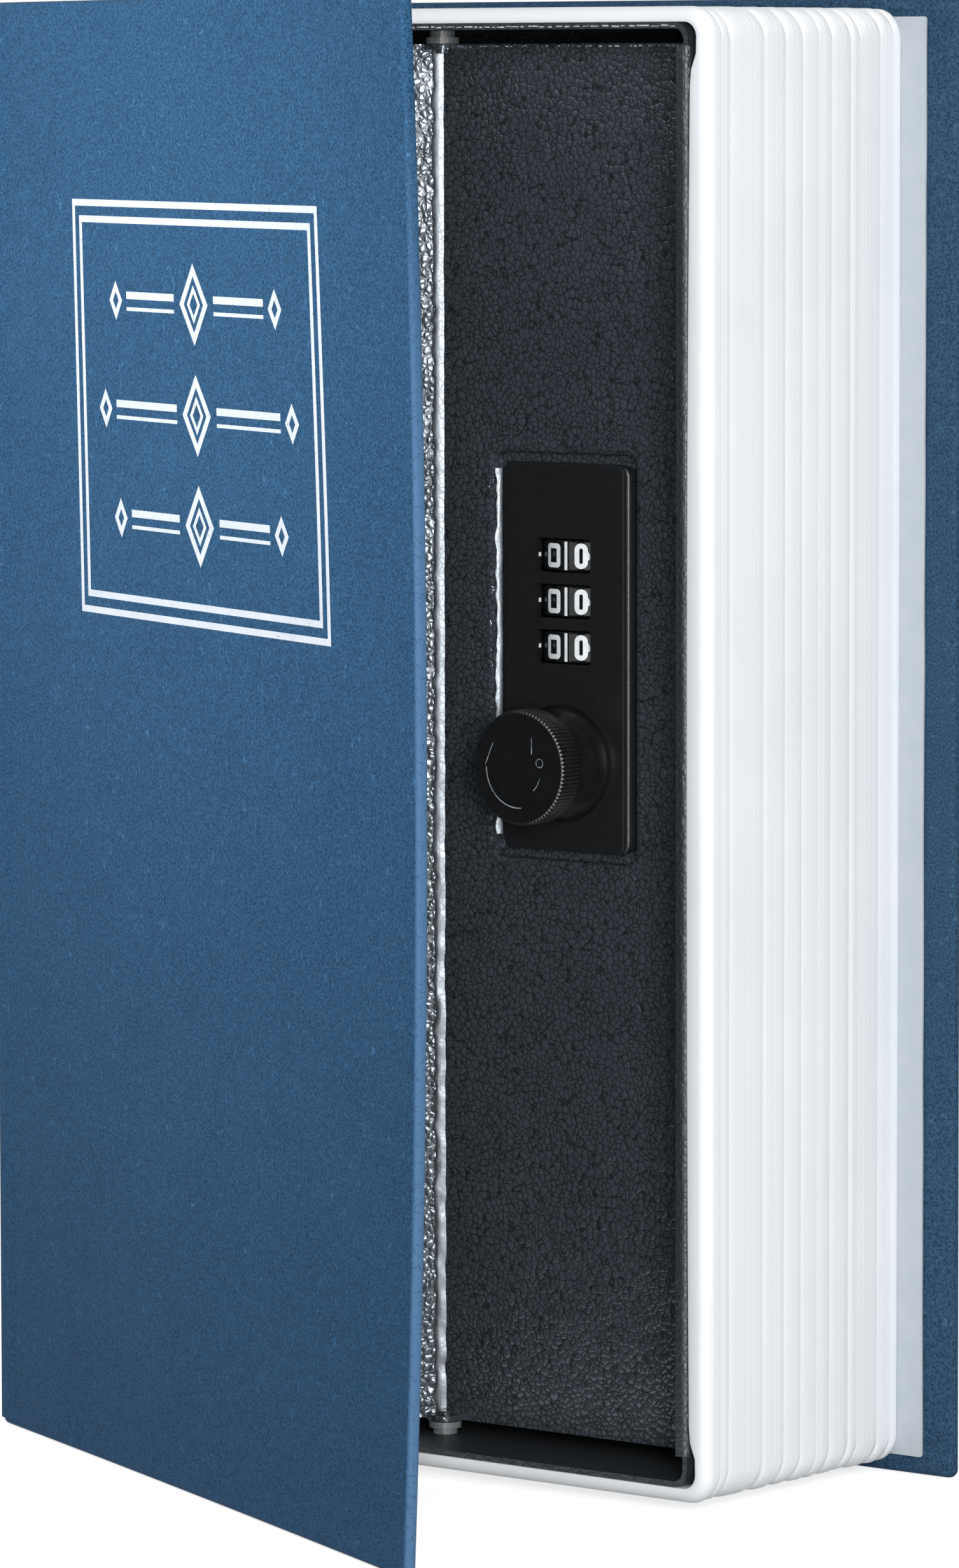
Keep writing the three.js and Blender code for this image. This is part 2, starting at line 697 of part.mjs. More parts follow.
function knobSpindle() {
  const start = plateFront - knobProud + 4.05;
  const round = barY(plateCentre, knobHeight, spindleRadius, [start, camD[0] - 0.3], 28);
  const half = spindleRadius * 0.72;
  const squareZ = [knobHeight - half, knobHeight + half];
  const square = box([plateCentre - half, plateCentre + half], [camD[0] - 0.5, camD[1] + 0.4], squareZ);
  const thread = barY(plateCentre, knobHeight, 2, [camD[1], camD[1] + 4.5], 24);
  return join([round, square, thread]);
}

function cam() {
  const s = [plateCentre - camWide / 2, plateCentre + camWide / 2];
  const z = [knobHeight - camReach, knobHeight + camWide / 2];
  const blade = plateAt(s, z, camD, camWide / 2 - 0.4);
  const half = spindleRadius * 0.72 + 0.1;
  const hole = box([plateCentre - half, plateCentre + half], through, [knobHeight - half, knobHeight + half]);
  return blade.subtract(hole);
}

function camWasher() {
  const d = [camD[1] + 0.45, camD[1] + 1.05];
  return barY(plateCentre, knobHeight, 4.4, d).subtract(barY(plateCentre, knobHeight, 2.1, through, 24));
}

function camNut() {
  const geometry = new THREE.CylinderGeometry(4, 4, 2.6, 6);
  geometry.translate(foreX - plateCentre, rimY + camD[1] + 1.1 + 1.3, knobHeight);
  return toSolid(geometry).subtract(barY(plateCentre, knobHeight, 2.05, through, 24));
}

// Assembly
const pieces = [
  ["back_cover", coverBoard([blockDepth, blockDepth + coverThick]), leatherette],
  ["spine_board", spineBoard(), leatherette],
  ["back_endpaper", coverPaper([blockDepth - 0.02 - paperThick, blockDepth - 0.02]), paper],
  ["page_block", pageBlock(), pagePlastic],
  ["box_walls", boxBand(), hammertone],
  ["box_back_plate", boxBackPlate(), hammertone],
  ["box_front_plate", boxFrontPlate(), hammertone],
  ["keeper", keeper(), hammertone],
  ["keeper_rivet_1", keeperRivet(keeperRivetZ[0]), zincSteel],
  ["keeper_rivet_2", keeperRivet(keeperRivetZ[1]), zincSteel],
  ["box_rivet_1", boxRivet(boxRivetS[0], boxRivetZ[0]), zincSteel],
  ["box_rivet_2", boxRivet(boxRivetS[1], boxRivetZ[0]), zincSteel],
  ["box_rivet_3", boxRivet(boxRivetS[0], boxRivetZ[1]), zincSteel],
  ["box_rivet_4", boxRivet(boxRivetS[1], boxRivetZ[1]), zincSteel],
  ["hinge_pin_top", hingePin(1), zincSteel],
  ["hinge_pin_bottom", hingePin(-1), zincSteel],
  ["hinge_bush_top", hingeBush(1), nylon],
  ["hinge_bush_bottom", hingeBush(-1), nylon],
  ["front_cover", frontCover(), leatherette],
  ["front_endpaper", frontPaper(), paper],
  ["door_panel", doorPanel(), hammertone],
  ["lock_plate", lockPlate(), blackPlastic],
  ["lock_housing", lockHousing(), blackPlastic],
  ["dial_axle", dialAxle(), zincSteel],
  ["detent_spring", detentSpring(), springSteel],
  ["dial_1", dial(dialZ[0]), blackPlastic],
  ["dial_2", dial(dialZ[1]), blackPlastic],
  ["dial_3", dial(dialZ[2]), blackPlastic],
  ["housing_screw_1", housingScrew(screwZ[0]), zincSteel],
  ["housing_screw_2", housingScrew(screwZ[1]), zincSteel],
  ["change_screw", changeScrew(), zincSteel],
  ["knob", knob(), blackPlastic],
  ["knob_spindle", knobSpindle(), zincSteel],
  ["cam", cam(), zincSteel],
  ["cam_washer", camWasher(), zincSteel],
  ["cam_nut", camNut(), zincSteel],
];

const safe = new THREE.Group();
safe.name = "book_safe";
for (const [name, solid, finish] of pieces) {
  safe.add(toMesh(name, solid, finish));
}

export default safe;
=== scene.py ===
import math
import random

import bmesh
import bpy
from mathutils import Matrix, Vector, noise
from mathutils.bvhtree import BVHTree


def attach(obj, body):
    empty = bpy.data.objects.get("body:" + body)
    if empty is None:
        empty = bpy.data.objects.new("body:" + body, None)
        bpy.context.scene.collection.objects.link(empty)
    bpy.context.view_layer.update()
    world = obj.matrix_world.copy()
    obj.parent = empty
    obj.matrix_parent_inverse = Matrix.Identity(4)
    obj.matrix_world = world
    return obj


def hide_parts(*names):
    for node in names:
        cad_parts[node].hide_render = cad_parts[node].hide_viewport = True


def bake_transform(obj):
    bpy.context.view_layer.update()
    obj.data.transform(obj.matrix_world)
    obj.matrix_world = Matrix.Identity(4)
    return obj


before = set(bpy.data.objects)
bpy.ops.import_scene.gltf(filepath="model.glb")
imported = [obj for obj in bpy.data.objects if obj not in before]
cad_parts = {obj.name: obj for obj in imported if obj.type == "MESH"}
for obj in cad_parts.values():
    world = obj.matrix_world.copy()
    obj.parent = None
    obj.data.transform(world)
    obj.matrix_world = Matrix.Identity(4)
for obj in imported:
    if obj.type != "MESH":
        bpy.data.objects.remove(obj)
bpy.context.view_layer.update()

random.seed(11)
mm = 0.001

# The safe's own measures in mm: s runs from the fore-edge to the spine, d back from the rim, z up
book = {
    "foreX": 68.3,
    "rimY": -53.0,
    "height": 240.0,
    "foreOverhang": 10.8,
    "spineOuter": 147.4,
    "coverThick": 2.0,
    "coverFront": -3.2,
    "backCover": 52.0,
    "hingeS": 146.4,
    "hingeD": -2.2,
    "opening": 24.6,
}


def at(s, d, z):
    return Vector((book["foreX"] - s, book["rimY"] + d, z)) * mm


hingeLine = at(book["hingeS"], book["hingeD"], 0)
coverTurn = (
    Matrix.Translation(hingeLine)
    @ Matrix.Rotation(math.radians(-book["opening"]), 4, "Z")
    @ Matrix.Translation(-hingeLine)
)

# camera: place in mm, angles in degrees, lens in mm on a 36 mm sensor
camera = {
    "place": (806.78, -1033.29, 226.21),
    "yaw": -38.6656,
    "pitch": 5.0984,
    "roll": -0.0942,
    "lens": 179.98,
}


def addCamera():
    yaw, pitch, roll = (math.radians(camera[key]) for key in ("yaw", "pitch", "roll"))
    forward = Vector((math.sin(yaw) * math.cos(pitch), math.cos(yaw) * math.cos(pitch), -math.sin(pitch)))
    right = Vector((math.cos(yaw), -math.sin(yaw), 0))
    up = right.cross(forward)
    rolledRight = math.cos(roll) * right + math.sin(roll) * up
    rolledUp = math.cos(roll) * up - math.sin(roll) * right
    data = bpy.data.cameras.new("camera")
    data.lens = camera["lens"]
    data.sensor_fit = "AUTO"
    data.sensor_width = 36
    data.clip_start = 0.05
    data.clip_end = 30
    holder = bpy.data.objects.new("camera", data)
    bpy.context.scene.collection.objects.link(holder)
    turn = Matrix((rolledRight, rolledUp, -forward)).transposed().to_4x4()
    holder.matrix_world = Matrix.Translation(Vector(camera["place"]) * mm) @ turn
    bpy.context.scene.camera = holder


addCamera()
print("camera placed")


# shared making
def colour(hexText):
    parts = [int(hexText[n:n + 2], 16) / 255 for n in (1, 3, 5)]
    linear = [p / 12.92 if p <= 0.04045 else ((p + 0.055) / 1.055) ** 2.4 for p in parts]
    return (*linear, 1.0)


def addNode(tree, kind, settings=None, links=None):
    node = tree.nodes.new(kind)
    for name, value in (settings or {}).items():
        if isinstance(name, int) or name in node.inputs:
            node.inputs[name].default_value = value
        else:
            setattr(node, name, value)
    for name, source in (links or {}).items():
        tree.links.new(source, node.inputs[name])
    return node


def newMaterial(name):
    material = bpy.data.materials.new(name)
    material.use_nodes = True
    tree = material.node_tree
    tree.nodes.clear()
    shader = addNode(tree, "ShaderNodeBsdfPrincipled")
    addNode(tree, "ShaderNodeOutputMaterial", links={"Surface": shader.outputs[0]})
    where = addNode(tree, "ShaderNodeTexCoord")
    return material, tree, shader, where.outputs["Object"]


def makeObject(name, points, faces, material, sharp=35, turn=None):
    mesh = bpy.data.meshes.new(name)
    mesh.from_pydata([tuple(p) for p in points], [], faces)
    work = bmesh.new()
    work.from_mesh(mesh)
    bmesh.ops.recalc_face_normals(work, faces=work.faces)
    work.to_mesh(mesh)
    work.free()
    if turn:
        mesh.transform(turn)
    for face in mesh.polygons:
        face.use_smooth = True
    mesh.set_sharp_from_angle(angle=math.radians(sharp))
    mesh.materials.append(material)
    thing = bpy.data.objects.new(name, mesh)
    bpy.context.scene.collection.objects.link(thing)
    return thing


def roundedOutline(s, z, radius, sides=(12, 22), corner=6):
    centres = [
        (s[1] - radius, z[1] - radius, 0),
        (s[0] + radius, z[1] - radius, 90),
        (s[0] + radius, z[0] + radius, 180),
        (s[1] - radius, z[0] + radius, 270),
    ]
    points = []
    for n, (cs, cz, start) in enumerate(centres):
        for k in range(corner + 1):
            angle = math.radians(start + 90 * k / corner)
            points.append((cs + radius * math.cos(angle), cz + radius * math.sin(angle)))
        nextS, nextZ, nextStart = centres[(n + 1) % 4]
        angle = math.radians(nextStart)
        end = (nextS + radius * math.cos(angle), nextZ + radius * math.sin(angle))
        count = sides[n % 2]
        first = points[-1]
        for k in range(1, count):
            points.append(tuple(first[i] + (end[i] - first[i]) * k / count for i in (0, 1)))
    return points


def bridge(rows, count, closed=False):
    faces = []
    for row in range(rows if closed else rows - 1):
        below = row * count
        above = ((row + 1) % rows) * count
        for n in range(count):
            m = (n + 1) % count
            faces.append((below + n, below + m, above + m, above + n))
    return faces


def tube(rows, count):
    # rows of points joined into a skin and closed at its first and last row
    faces = bridge(rows, count)
    faces.append(tuple(range(count)))
    faces.append(tuple(range((rows - 1) * count, rows * count)))
    return faces


def subdivided(points, step, closed=False):
    result = []
    total = len(points) if closed else len(points) - 1
    for n in range(total):
        a, b = Vector(points[n]), Vector(points[(n + 1) % len(points)])
        count = max(1, round((b - a).length / step))
        result += [a.lerp(b, k / count) for k in range(count)]
    if not closed:
        result.append(Vector(points[-1]))
    return result


def ribbon(points, width, closed=False):
    # a flat stroke of even width along 2-D points, mitred where it turns
    points = [Vector(p) for p in points]
    count = len(points)
    edges = []
    for n, p in enumerate(points):
        before = points[n - 1] if n or closed else None
        after = points[(n + 1) % count] if n + 1 < count or closed else None
        dirs = []
        if before is not None:
            dirs.append((p - before).normalized())
        if after is not None:
            dirs.append((after - p).normalized())
        along = sum(dirs, Vector((0, 0))).normalized()
        side = Vector((-along.y, along.x))
        own = Vector((-dirs[0].y, dirs[0].x))
        reach = width / 2 / max(0.45, side.dot(own))
        edges += [p + side * reach, p - side * reach]
    faces = []
    for n in range(count if closed else count - 1):
        m = (n + 1) % count
        faces.append((2 * n, 2 * n + 1, 2 * m + 1, 2 * m))
    return edges, faces


def layStrokes(name, strokes, onto, material, step=4.0):
    # strokes are (points, width, closed); onto turns a 2-D point into a place on the surface
    points, faces = [], []
    for line, width, closed in strokes:
        fine = subdivided([Vector(p) for p in line], step, closed)
        edges, quads = ribbon(fine, width, closed)
        base = len(points)
        points += [onto(e.x, e.y) for e in edges]
        faces += [tuple(base + i for i in quad) for quad in quads]
    return makeObject(name, points, faces, material)


# materials
# Leatherette: coated paper embossed with a fine hair grain, satin, paler where the hairs catch light
leatheretteLook = {
    "base": "#294f6f",
    "shade": "#204260",
    "pit": "#17334d",
    "fibre": "#4474a0",
    "roughness": 0.52,
    "ior": 1.45,
    "specular": 0.04,
    "fibreLoopMm": 1.7,
    "fibreWidth": 0.022,
    # three sets of hairs: shift of the pattern, its scale, and how long a hair runs before it breaks, in mm
    "hairs": [(0.0, 1.0, 1.613), (0.31, 0.7, 1.408), (0.77, 1.35, 1.25)],
    "cloudMm": 22.22,
    # the real grain is finer and would not show, so it is drawn coarser
    "grainMm": 0.36,
    "grainShare": 0.6,
    "bumpMm": 0.09,
    # a painted highlight along the front cover's rounded fore edge, where it catches the lamp, in this colour
    "highlightTint": "#507397",
    # it runs this far back from the front cover's fore edge, and fades toward the head of the book
    "highlightMm": (0.3, 1.0),
    "highlightZ": (225, 165),
}
# the back cover's covering, stretched round its board and turned in: the same leatherette with a flatter
# grain, its colour painted darker and greyer as painted shade and a painted haze of reflection
backCoverShadedLook = {
    **leatheretteLook,
    "base": "#2f4a63",
    "shade": "#273f57",
    "pit": "#1f3549",
    "fibre": "#456480",
    "bumpMm": 0.06,
}

# the way from the spine to the fore edge of the open front cover
opening = math.radians(book["opening"])
coverReach = (math.cos(opening), -math.sin(opening), 0.0)


def makeLeatherette(name, look):
    material, tree, shader, place = newMaterial(name)
    masks = []
    for shift, scale, breakMm in look["hairs"]:
        # a hair follows the level line of a soft noise, and a second noise breaks it into short arcs
        moved = addNode(tree, "ShaderNodeVectorMath", {"operation": "ADD", 1: (shift, shift * 0.6, -shift)},
                        {0: place})
        field = addNode(tree, "ShaderNodeTexNoise",
                        {"Scale": 1000 * scale / look["fibreLoopMm"], "Detail": 0.0},
                        {"Vector": moved.outputs[0]})
        off = addNode(tree, "ShaderNodeMath", {"operation": "SUBTRACT", 1: 0.5}, {0: field.outputs["Fac"]})
        size = addNode(tree, "ShaderNodeMath", {"operation": "ABSOLUTE"}, {0: off.outputs[0]})
        line = addNode(tree, "ShaderNodeMapRange",
                       {"From Max": look["fibreWidth"], "To Min": 1.0, "To Max": 0.0},
                       {"Value": size.outputs[0]})
        gaps = addNode(tree, "ShaderNodeTexNoise", {"Scale": 1000 / breakMm, "Detail": 1.0},
                       {"Vector": moved.outputs[0]})
        broken = addNode(tree, "ShaderNodeMapRange", {"From Min": 0.53, "From Max": 0.62},
                         {"Value": gaps.outputs["Fac"]})
        masks.append(addNode(tree, "ShaderNodeMath", {"operation": "MULTIPLY"},
                             {0: line.outputs[0], 1: broken.outputs[0]}))
    hairMask = masks[0]
    for mask in masks[1:]:
        hairMask = addNode(tree, "ShaderNodeMath", {"operation": "MAXIMUM"},
                           {0: hairMask.outputs[0], 1: mask.outputs[0]})
    cloud = addNode(tree, "ShaderNodeTexNoise", {"Scale": 1000 / look["cloudMm"], "Detail": 4.0},
                    {"Vector": place})
    grain = addNode(tree, "ShaderNodeTexNoise", {"Scale": 1000 / look["grainMm"], "Detail": 2.0},
                    {"Vector": place})
    ground = addNode(tree, "ShaderNodeMix",
                     {"data_type": "RGBA", 6: colour(look["base"]), 7: colour(look["shade"])},
                     {0: cloud.outputs["Fac"]})
    crest = addNode(tree, "ShaderNodeMapRange",
                    {"From Min": 0.44, "From Max": 0.7, "To Max": look["grainShare"]},
                    {"Value": grain.outputs["Fac"]})
    lit = addNode(tree, "ShaderNodeMath", {"operation": "MAXIMUM"},
                  {0: crest.outputs[0], 1: hairMask.outputs[0]})
    low = addNode(tree, "ShaderNodeMapRange", {"From Min": 0.47, "From Max": 0.33, "To Max": 0.8},
                  {"Value": grain.outputs["Fac"]})
    pitted = addNode(tree, "ShaderNodeMix", {"data_type": "RGBA", 7: colour(look["pit"])},
                     {0: low.outputs[0], 6: ground.outputs[2]})
    fibred = addNode(tree, "ShaderNodeMix", {"data_type": "RGBA", 7: colour(look["fibre"])},
                     {0: lit.outputs[0], 6: pitted.outputs[2]})
    reach = addNode(tree, "ShaderNodeVectorMath", {"operation": "DOT_PRODUCT", 1: coverReach}, {0: place})
    # the range is set once the front cover is built, and as given here it paints no highlight
    paintedHighlight = addNode(tree, "ShaderNodeMapRange", {"name": "paintedHighlight", "From Min": 9.0, "From Max": 10.0},
                  {"Value": reach.outputs["Value"]})
    spot = addNode(tree, "ShaderNodeSeparateXYZ", {}, {"Vector": place})
    fade = addNode(tree, "ShaderNodeMapRange",
                   {"From Min": look["highlightZ"][0] * mm, "From Max": look["highlightZ"][1] * mm, "To Min": 0.1},
                   {"Value": spot.outputs["Z"]})
    highlightShare = addNode(tree, "ShaderNodeMath", {"operation": "MULTIPLY"},
                       {0: paintedHighlight.outputs[0], 1: fade.outputs[0]})
    covering = addNode(tree, "ShaderNodeMix", {"data_type": "RGBA", 7: colour(look["highlightTint"])},
                       {0: highlightShare.outputs[0], 6: fibred.outputs[2]})
    height = addNode(tree, "ShaderNodeMath", {"operation": "MULTIPLY_ADD", 1: 0.8},
                     {0: grain.outputs["Fac"], 2: hairMask.outputs[0]})
    bump = addNode(tree, "ShaderNodeBump", {"Strength": 1.0, "Distance": look["bumpMm"] * mm},
                   {"Height": height.outputs[0]})
    gloss = addNode(tree, "ShaderNodeMapRange",
                    {"To Min": look["roughness"] - 0.06, "To Max": look["roughness"] + 0.08},
                    {"Value": grain.outputs["Fac"]})
    tree.links.new(covering.outputs[2], shader.inputs["Base Color"])
    tree.links.new(gloss.outputs[0], shader.inputs["Roughness"])
    tree.links.new(bump.outputs[0], shader.inputs["Normal"])
    shader.inputs["IOR"].default_value = look["ior"]
    shader.inputs["Specular IOR Level"].default_value = look["specular"]
    return material


# Hammertone powder coat: aluminium flake in a glossy dark film that draws up into round domes with
# fine grooves between them; in folds the film pools and lies smooth
hammertoneLook = {
    "dome": "#575f66",
    "tint": "#4c545b",
    # the grooves between the domes are painted darker: painted shade in the creases
    "groove": "#1f2428",
    "flakeShare": 0.5,
    "roughness": 0.16,
    "domeMm": 1.08,
    "domeHighMm": 0.15,
    "grooved": True,
    "ior": 1.58,
    "wanderMm": 1.3,
    "wanderScaleMm": 2.0833,
    "swellMm": 4.1667,
    "driftMm": 11.11,
}

# the box is coated thinner and drier than the door, so rougher and with lower domes; its colour is painted
# darker than the door's as painted shade inside the box
boxShadedLook = {
    **hammertoneLook,
    "dome": "#2b2f33",
    "tint": "#25292d",
    "flakeShare": 0.1,
    "roughness": 0.42,
    "domeHighMm": 0.11,
}

# where the film pools in a fold it lies smooth and shows the lamp as a line; its paler colour adds a painted
# highlight along that line
pooledHighlightLook = {
    **hammertoneLook,
    "dome": "#7c8287",
    "tint": "#6f757a",
    "flakeShare": 0.7,
    "roughness": 0.34,
    "domeHighMm": 0.012,
    "grooved": False,
}


def makeHammertone(name, look):
    material, tree, shader, place = newMaterial(name)
    # the domes' outlines wander, so that no two are alike
    wander = addNode(tree, "ShaderNodeTexNoise", {"Scale": 1000 / look["wanderScaleMm"], "Detail": 2.0},
                     {"Vector": place})
    moved = addNode(tree, "ShaderNodeMix", {"data_type": "VECTOR", "Factor": look["wanderMm"] * mm},
                    {4: place, 5: wander.outputs["Color"]})
    cells = addNode(tree, "ShaderNodeTexVoronoi",
                    {"feature": "SMOOTH_F1", "Smoothness": 0.35, "Scale": 1000 / look["domeMm"]},
                    {"Vector": moved.outputs[1]})
    edges = addNode(tree, "ShaderNodeTexVoronoi",
                    {"feature": "DISTANCE_TO_EDGE", "Scale": 1000 / look["domeMm"]},
                    {"Vector": moved.outputs[1]})
    # each dome is a low crown on a steeper flank, so its top is nearly flat
    squared = addNode(tree, "ShaderNodeMath", {"operation": "POWER", 1: 2.0}, {0: cells.outputs["Distance"]})
    crown = addNode(tree, "ShaderNodeMapRange", {"From Max": 0.55, "To Min": 0.72, "To Max": 0.0},
                    {"Value": squared.outputs[0]})
    flank = addNode(tree, "ShaderNodeMapRange",
                    {"interpolation_type": "SMOOTHSTEP", "From Max": 0.22, "To Max": 0.28},
                    {"Value": edges.outputs["Distance"]})
    dome = addNode(tree, "ShaderNodeMath", {"operation": "ADD"}, {0: crown.outputs[0], 1: flank.outputs[0]})
    groove = addNode(tree, "ShaderNodeMapRange", {"From Max": 0.1}, {"Value": edges.outputs["Distance"]})
    swell = addNode(tree, "ShaderNodeTexNoise", {"Scale": 1000 / look["swellMm"], "Detail": 1.0},
                    {"Vector": place})
    share = addNode(tree, "ShaderNodeMapRange",
                    {"From Min": 0.35, "From Max": 0.65, "To Min": 0.45, "To Max": 1.0},
                    {"Value": swell.outputs["Fac"]})
    height = addNode(tree, "ShaderNodeMath", {"operation": "MULTIPLY"},
                     {0: dome.outputs[0], 1: share.outputs[0]})
    bump = addNode(tree, "ShaderNodeBump", {"Strength": 1.0, "Distance": look["domeHighMm"] * mm},
                   {"Height": height.outputs[0]})
    drift = addNode(tree, "ShaderNodeTexNoise", {"Scale": 1000 / look["driftMm"], "Detail": 3.0},
                    {"Vector": place})
    skin = addNode(tree, "ShaderNodeMix",
                   {"data_type": "RGBA", 6: colour(look["dome"]), 7: colour(look["tint"])},
                   {0: drift.outputs["Fac"]})
    # painted shade: the grooves take the darker colour
    tint = addNode(tree, "ShaderNodeMix", {"data_type": "RGBA", 6: colour(look["groove"])},
                   {0: groove.outputs[0], 7: skin.outputs[2]})
    gloss = addNode(tree, "ShaderNodeMapRange",
                    {"To Min": look["roughness"] + 0.15, "To Max": look["roughness"]},
                    {"Value": groove.outputs[0]})
    shown = tint if look["grooved"] else skin
    tree.links.new(shown.outputs[2], shader.inputs["Base Color"])
    tree.links.new(gloss.outputs[0], shader.inputs["Roughness"])
    tree.links.new(bump.outputs[0], shader.inputs["Normal"])
    shader.inputs["Metallic"].default_value = look["flakeShare"]
    shader.inputs["IOR"].default_value = look["ior"]
    return material


# Everything below is smooth or nearly so: one tone that drifts a little, and a fine bump. Each bump is drawn
# coarser than the real texture, which is too fine to show.
plainLooks = {
    # white polystyrene, injection moulded against a satin tool: faint flow clouds
    "polystyreneMoulded": {
        "base": "#f4f6f9", "shade": "#eef2f6", "cloudMm": 30,
        "roughness": 0.4, "ior": 1.59, "bumpMm": 0.012, "bumpScaleMm": 0.8,
    },
    # uncoated endpaper: pale grey with pulp flecks, quite matt
    "uncoatedEndpaper": {
        "base": "#b5bcc3", "shade": "#b0b8bf", "cloudMm": 3,
        "roughness": 0.85, "ior": 1.45, "bumpMm": 0.02, "bumpScaleMm": 0.35,
    },
    # nylon bush, turned, slightly waxy: white nylon painted dull grey as painted shade under the ceiling
    "nylonTurnedPaintedShade": {
        "base": "#6c6f71", "shade": "#5e6163", "cloudMm": 2,
        "roughness": 0.4, "ior": 1.53, "bumpMm": 0.01, "bumpScaleMm": 0.3,
    },
    # steel, barrel zinc plated: bluish silver with dull spangles
    "steelZincPlated": {
        "base": "#c3c8cd", "shade": "#a5abb2", "cloudMm": 1.2,
        "roughness": 0.3, "metallic": 1.0, "bumpMm": 0.006, "bumpScaleMm": 0.4,
    },
    # hardened spring strip, rolled: brighter and a little brown
    "springSteelRolled": {
        "base": "#b4afa8", "shade": "#8f8b86", "cloudMm": 1.0,
        "roughness": 0.25, "metallic": 1.0, "bumpMm": 0.004, "bumpScaleMm": 0.3,
    },
    # die-cast lock front with black satin enamel: dust-fine texture
    "castZincBlackEnamel": {
        "base": "#17181a", "shade": "#1b1c1e", "cloudMm": 1.5,
        "roughness": 0.34, "ior": 1.5, "bumpMm": 0.035, "bumpScaleMm": 0.3,
    },
    # black ABS, injection moulded, satin
    "absMouldedBlack": {
        "base": "#111213", "shade": "#161719", "cloudMm": 2,
        "roughness": 0.2, "ior": 1.52, "bumpMm": 0.008, "bumpScaleMm": 0.4,
    },
    # pale primer white, used only as painted highlights on the edges of the box's ceiling and the door's head
    "barePrimer": {
        "base": "#d5d9dc", "shade": "#8d9296", "cloudMm": 0.5,
        "roughness": 0.55, "ior": 1.5, "bumpMm": 0.01, "bumpScaleMm": 0.2,
    },
    # black acetal code wheels, moulded, more gloss
    "acetalMouldedBlack": {
        "base": "#131416", "shade": "#191b1d", "cloudMm": 1,
        "roughness": 0.2, "ior": 1.48, "bumpMm": 0.008, "bumpScaleMm": 0.3,
    },
    # white pad-printed ink on the wheels
    "padPrintInk": {
        "base": "#f2f5f6", "shade": "#e2e7e9", "cloudMm": 0.6,
        "roughness": 0.5, "ior": 1.5, "bumpMm": 0.01, "bumpScaleMm": 0.2,
    },
    # grey paint wiped into the cut marks of the knob
    "wipedInPaint": {
        "base": "#b4b8ba", "shade": "#5c6063", "cloudMm": 0.7,
        "roughness": 0.6, "ior": 1.5, "bumpMm": 0.01, "bumpScaleMm": 0.2,
    },
}


def makePlain(name):
    look = plainLooks[name]
    material, tree, shader, place = newMaterial(name)
    cloud = addNode(tree, "ShaderNodeTexNoise", {"Scale": 1000 / look["cloudMm"], "Detail": 3.0},
                    {"Vector": place})
    patch = addNode(tree, "ShaderNodeMapRange", {"From Min": 0.35, "From Max": 0.65},
                    {"Value": cloud.outputs["Fac"]})
    tint = addNode(tree, "ShaderNodeMix",
                   {"data_type": "RGBA", 6: colour(look["base"]), 7: colour(look["shade"])},
                   {0: patch.outputs[0]})
    fine = addNode(tree, "ShaderNodeTexNoise", {"Scale": 1000 / look["bumpScaleMm"], "Detail": 3.0},
                   {"Vector": place})
    gloss = addNode(tree, "ShaderNodeMapRange",
                    {"To Min": look["roughness"] - 0.05, "To Max": look["roughness"] + 0.08},
                    {"Value": fine.outputs["Fac"]})
    bump = addNode(tree, "ShaderNodeBump", {"Strength": 0.6, "Distance": look["bumpMm"] * mm},
                   {"Height": fine.outputs["Fac"]})
    tree.links.new(tint.outputs[2], shader.inputs["Base Color"])
    tree.links.new(gloss.outputs[0], shader.inputs["Roughness"])
    tree.links.new(bump.outputs[0], shader.inputs["Normal"])
    if "metallic" in look:
        shader.inputs["Metallic"].default_value = look["metallic"]
    else:
        shader.inputs["IOR"].default_value = look["ior"]
    return material


# White stamping foil, pressed hot into the leatherette: crisp, with small cracks where it has lifted
foilLook = {
    "foil": "#dce3eb",
    "dull": "#bfc9d6",
    "bare": "#3a5f86",
    "roughness": 0.42,
    "crackMm": 0.9,
    "crackDeepMm": 0.02,
    "cloudMm": 4.545,
}


def makeFoil():
    material, tree, shader, place = newMaterial("whiteStampingFoil")
    look = foilLook
    flakes = addNode(tree, "ShaderNodeTexNoise",
                     {"Scale": 1000 / look["crackMm"], "Detail": 4.0, "Roughness": 0.7}, {"Vector": place})
    lost = addNode(tree, "ShaderNodeMapRange", {"From Min": 0.66, "From Max": 0.7},
                   {"Value": flakes.outputs["Fac"]})
    cloud = addNode(tree, "ShaderNodeTexNoise", {"Scale": 1000 / look["cloudMm"], "Detail": 3.0},
                    {"Vector": place})
    sheen = addNode(tree, "ShaderNodeMix",
                    {"data_type": "RGBA", 6: colour(look["foil"]), 7: colour(look["dull"])},
                    {0: cloud.outputs["Fac"]})
    worn = addNode(tree, "ShaderNodeMix", {"data_type": "RGBA", 7: colour(look["bare"])},
                   {0: lost.outputs[0], 6: sheen.outputs[2]})
    bump = addNode(tree, "ShaderNodeBump", {"Strength": 0.4, "Distance": look["crackDeepMm"] * mm},
                   {"Height": flakes.outputs["Fac"]})
    tree.links.new(worn.outputs[2], shader.inputs["Base Color"])
    tree.links.new(bump.outputs[0], shader.inputs["Normal"])
    shader.inputs["Roughness"].default_value = look["roughness"]
    return material


leatherette = makeLeatherette("coatedPaperLeatherette", leatheretteLook)
backCoverShadedLeatherette = makeLeatherette("leatheretteBackPaintedShade", backCoverShadedLook)
hammertone = makeHammertone("hammertonePowderCoat", hammertoneLook)
boxShadedHammertone = makeHammertone("hammertoneBoxPaintedShade", boxShadedLook)
pooledHighlightHammertone = makeHammertone("hammertonePooledPaintedHighlight", pooledHighlightLook)
foil = makeFoil()
plain = {name: makePlain(name) for name in plainLooks}
print("materials made")

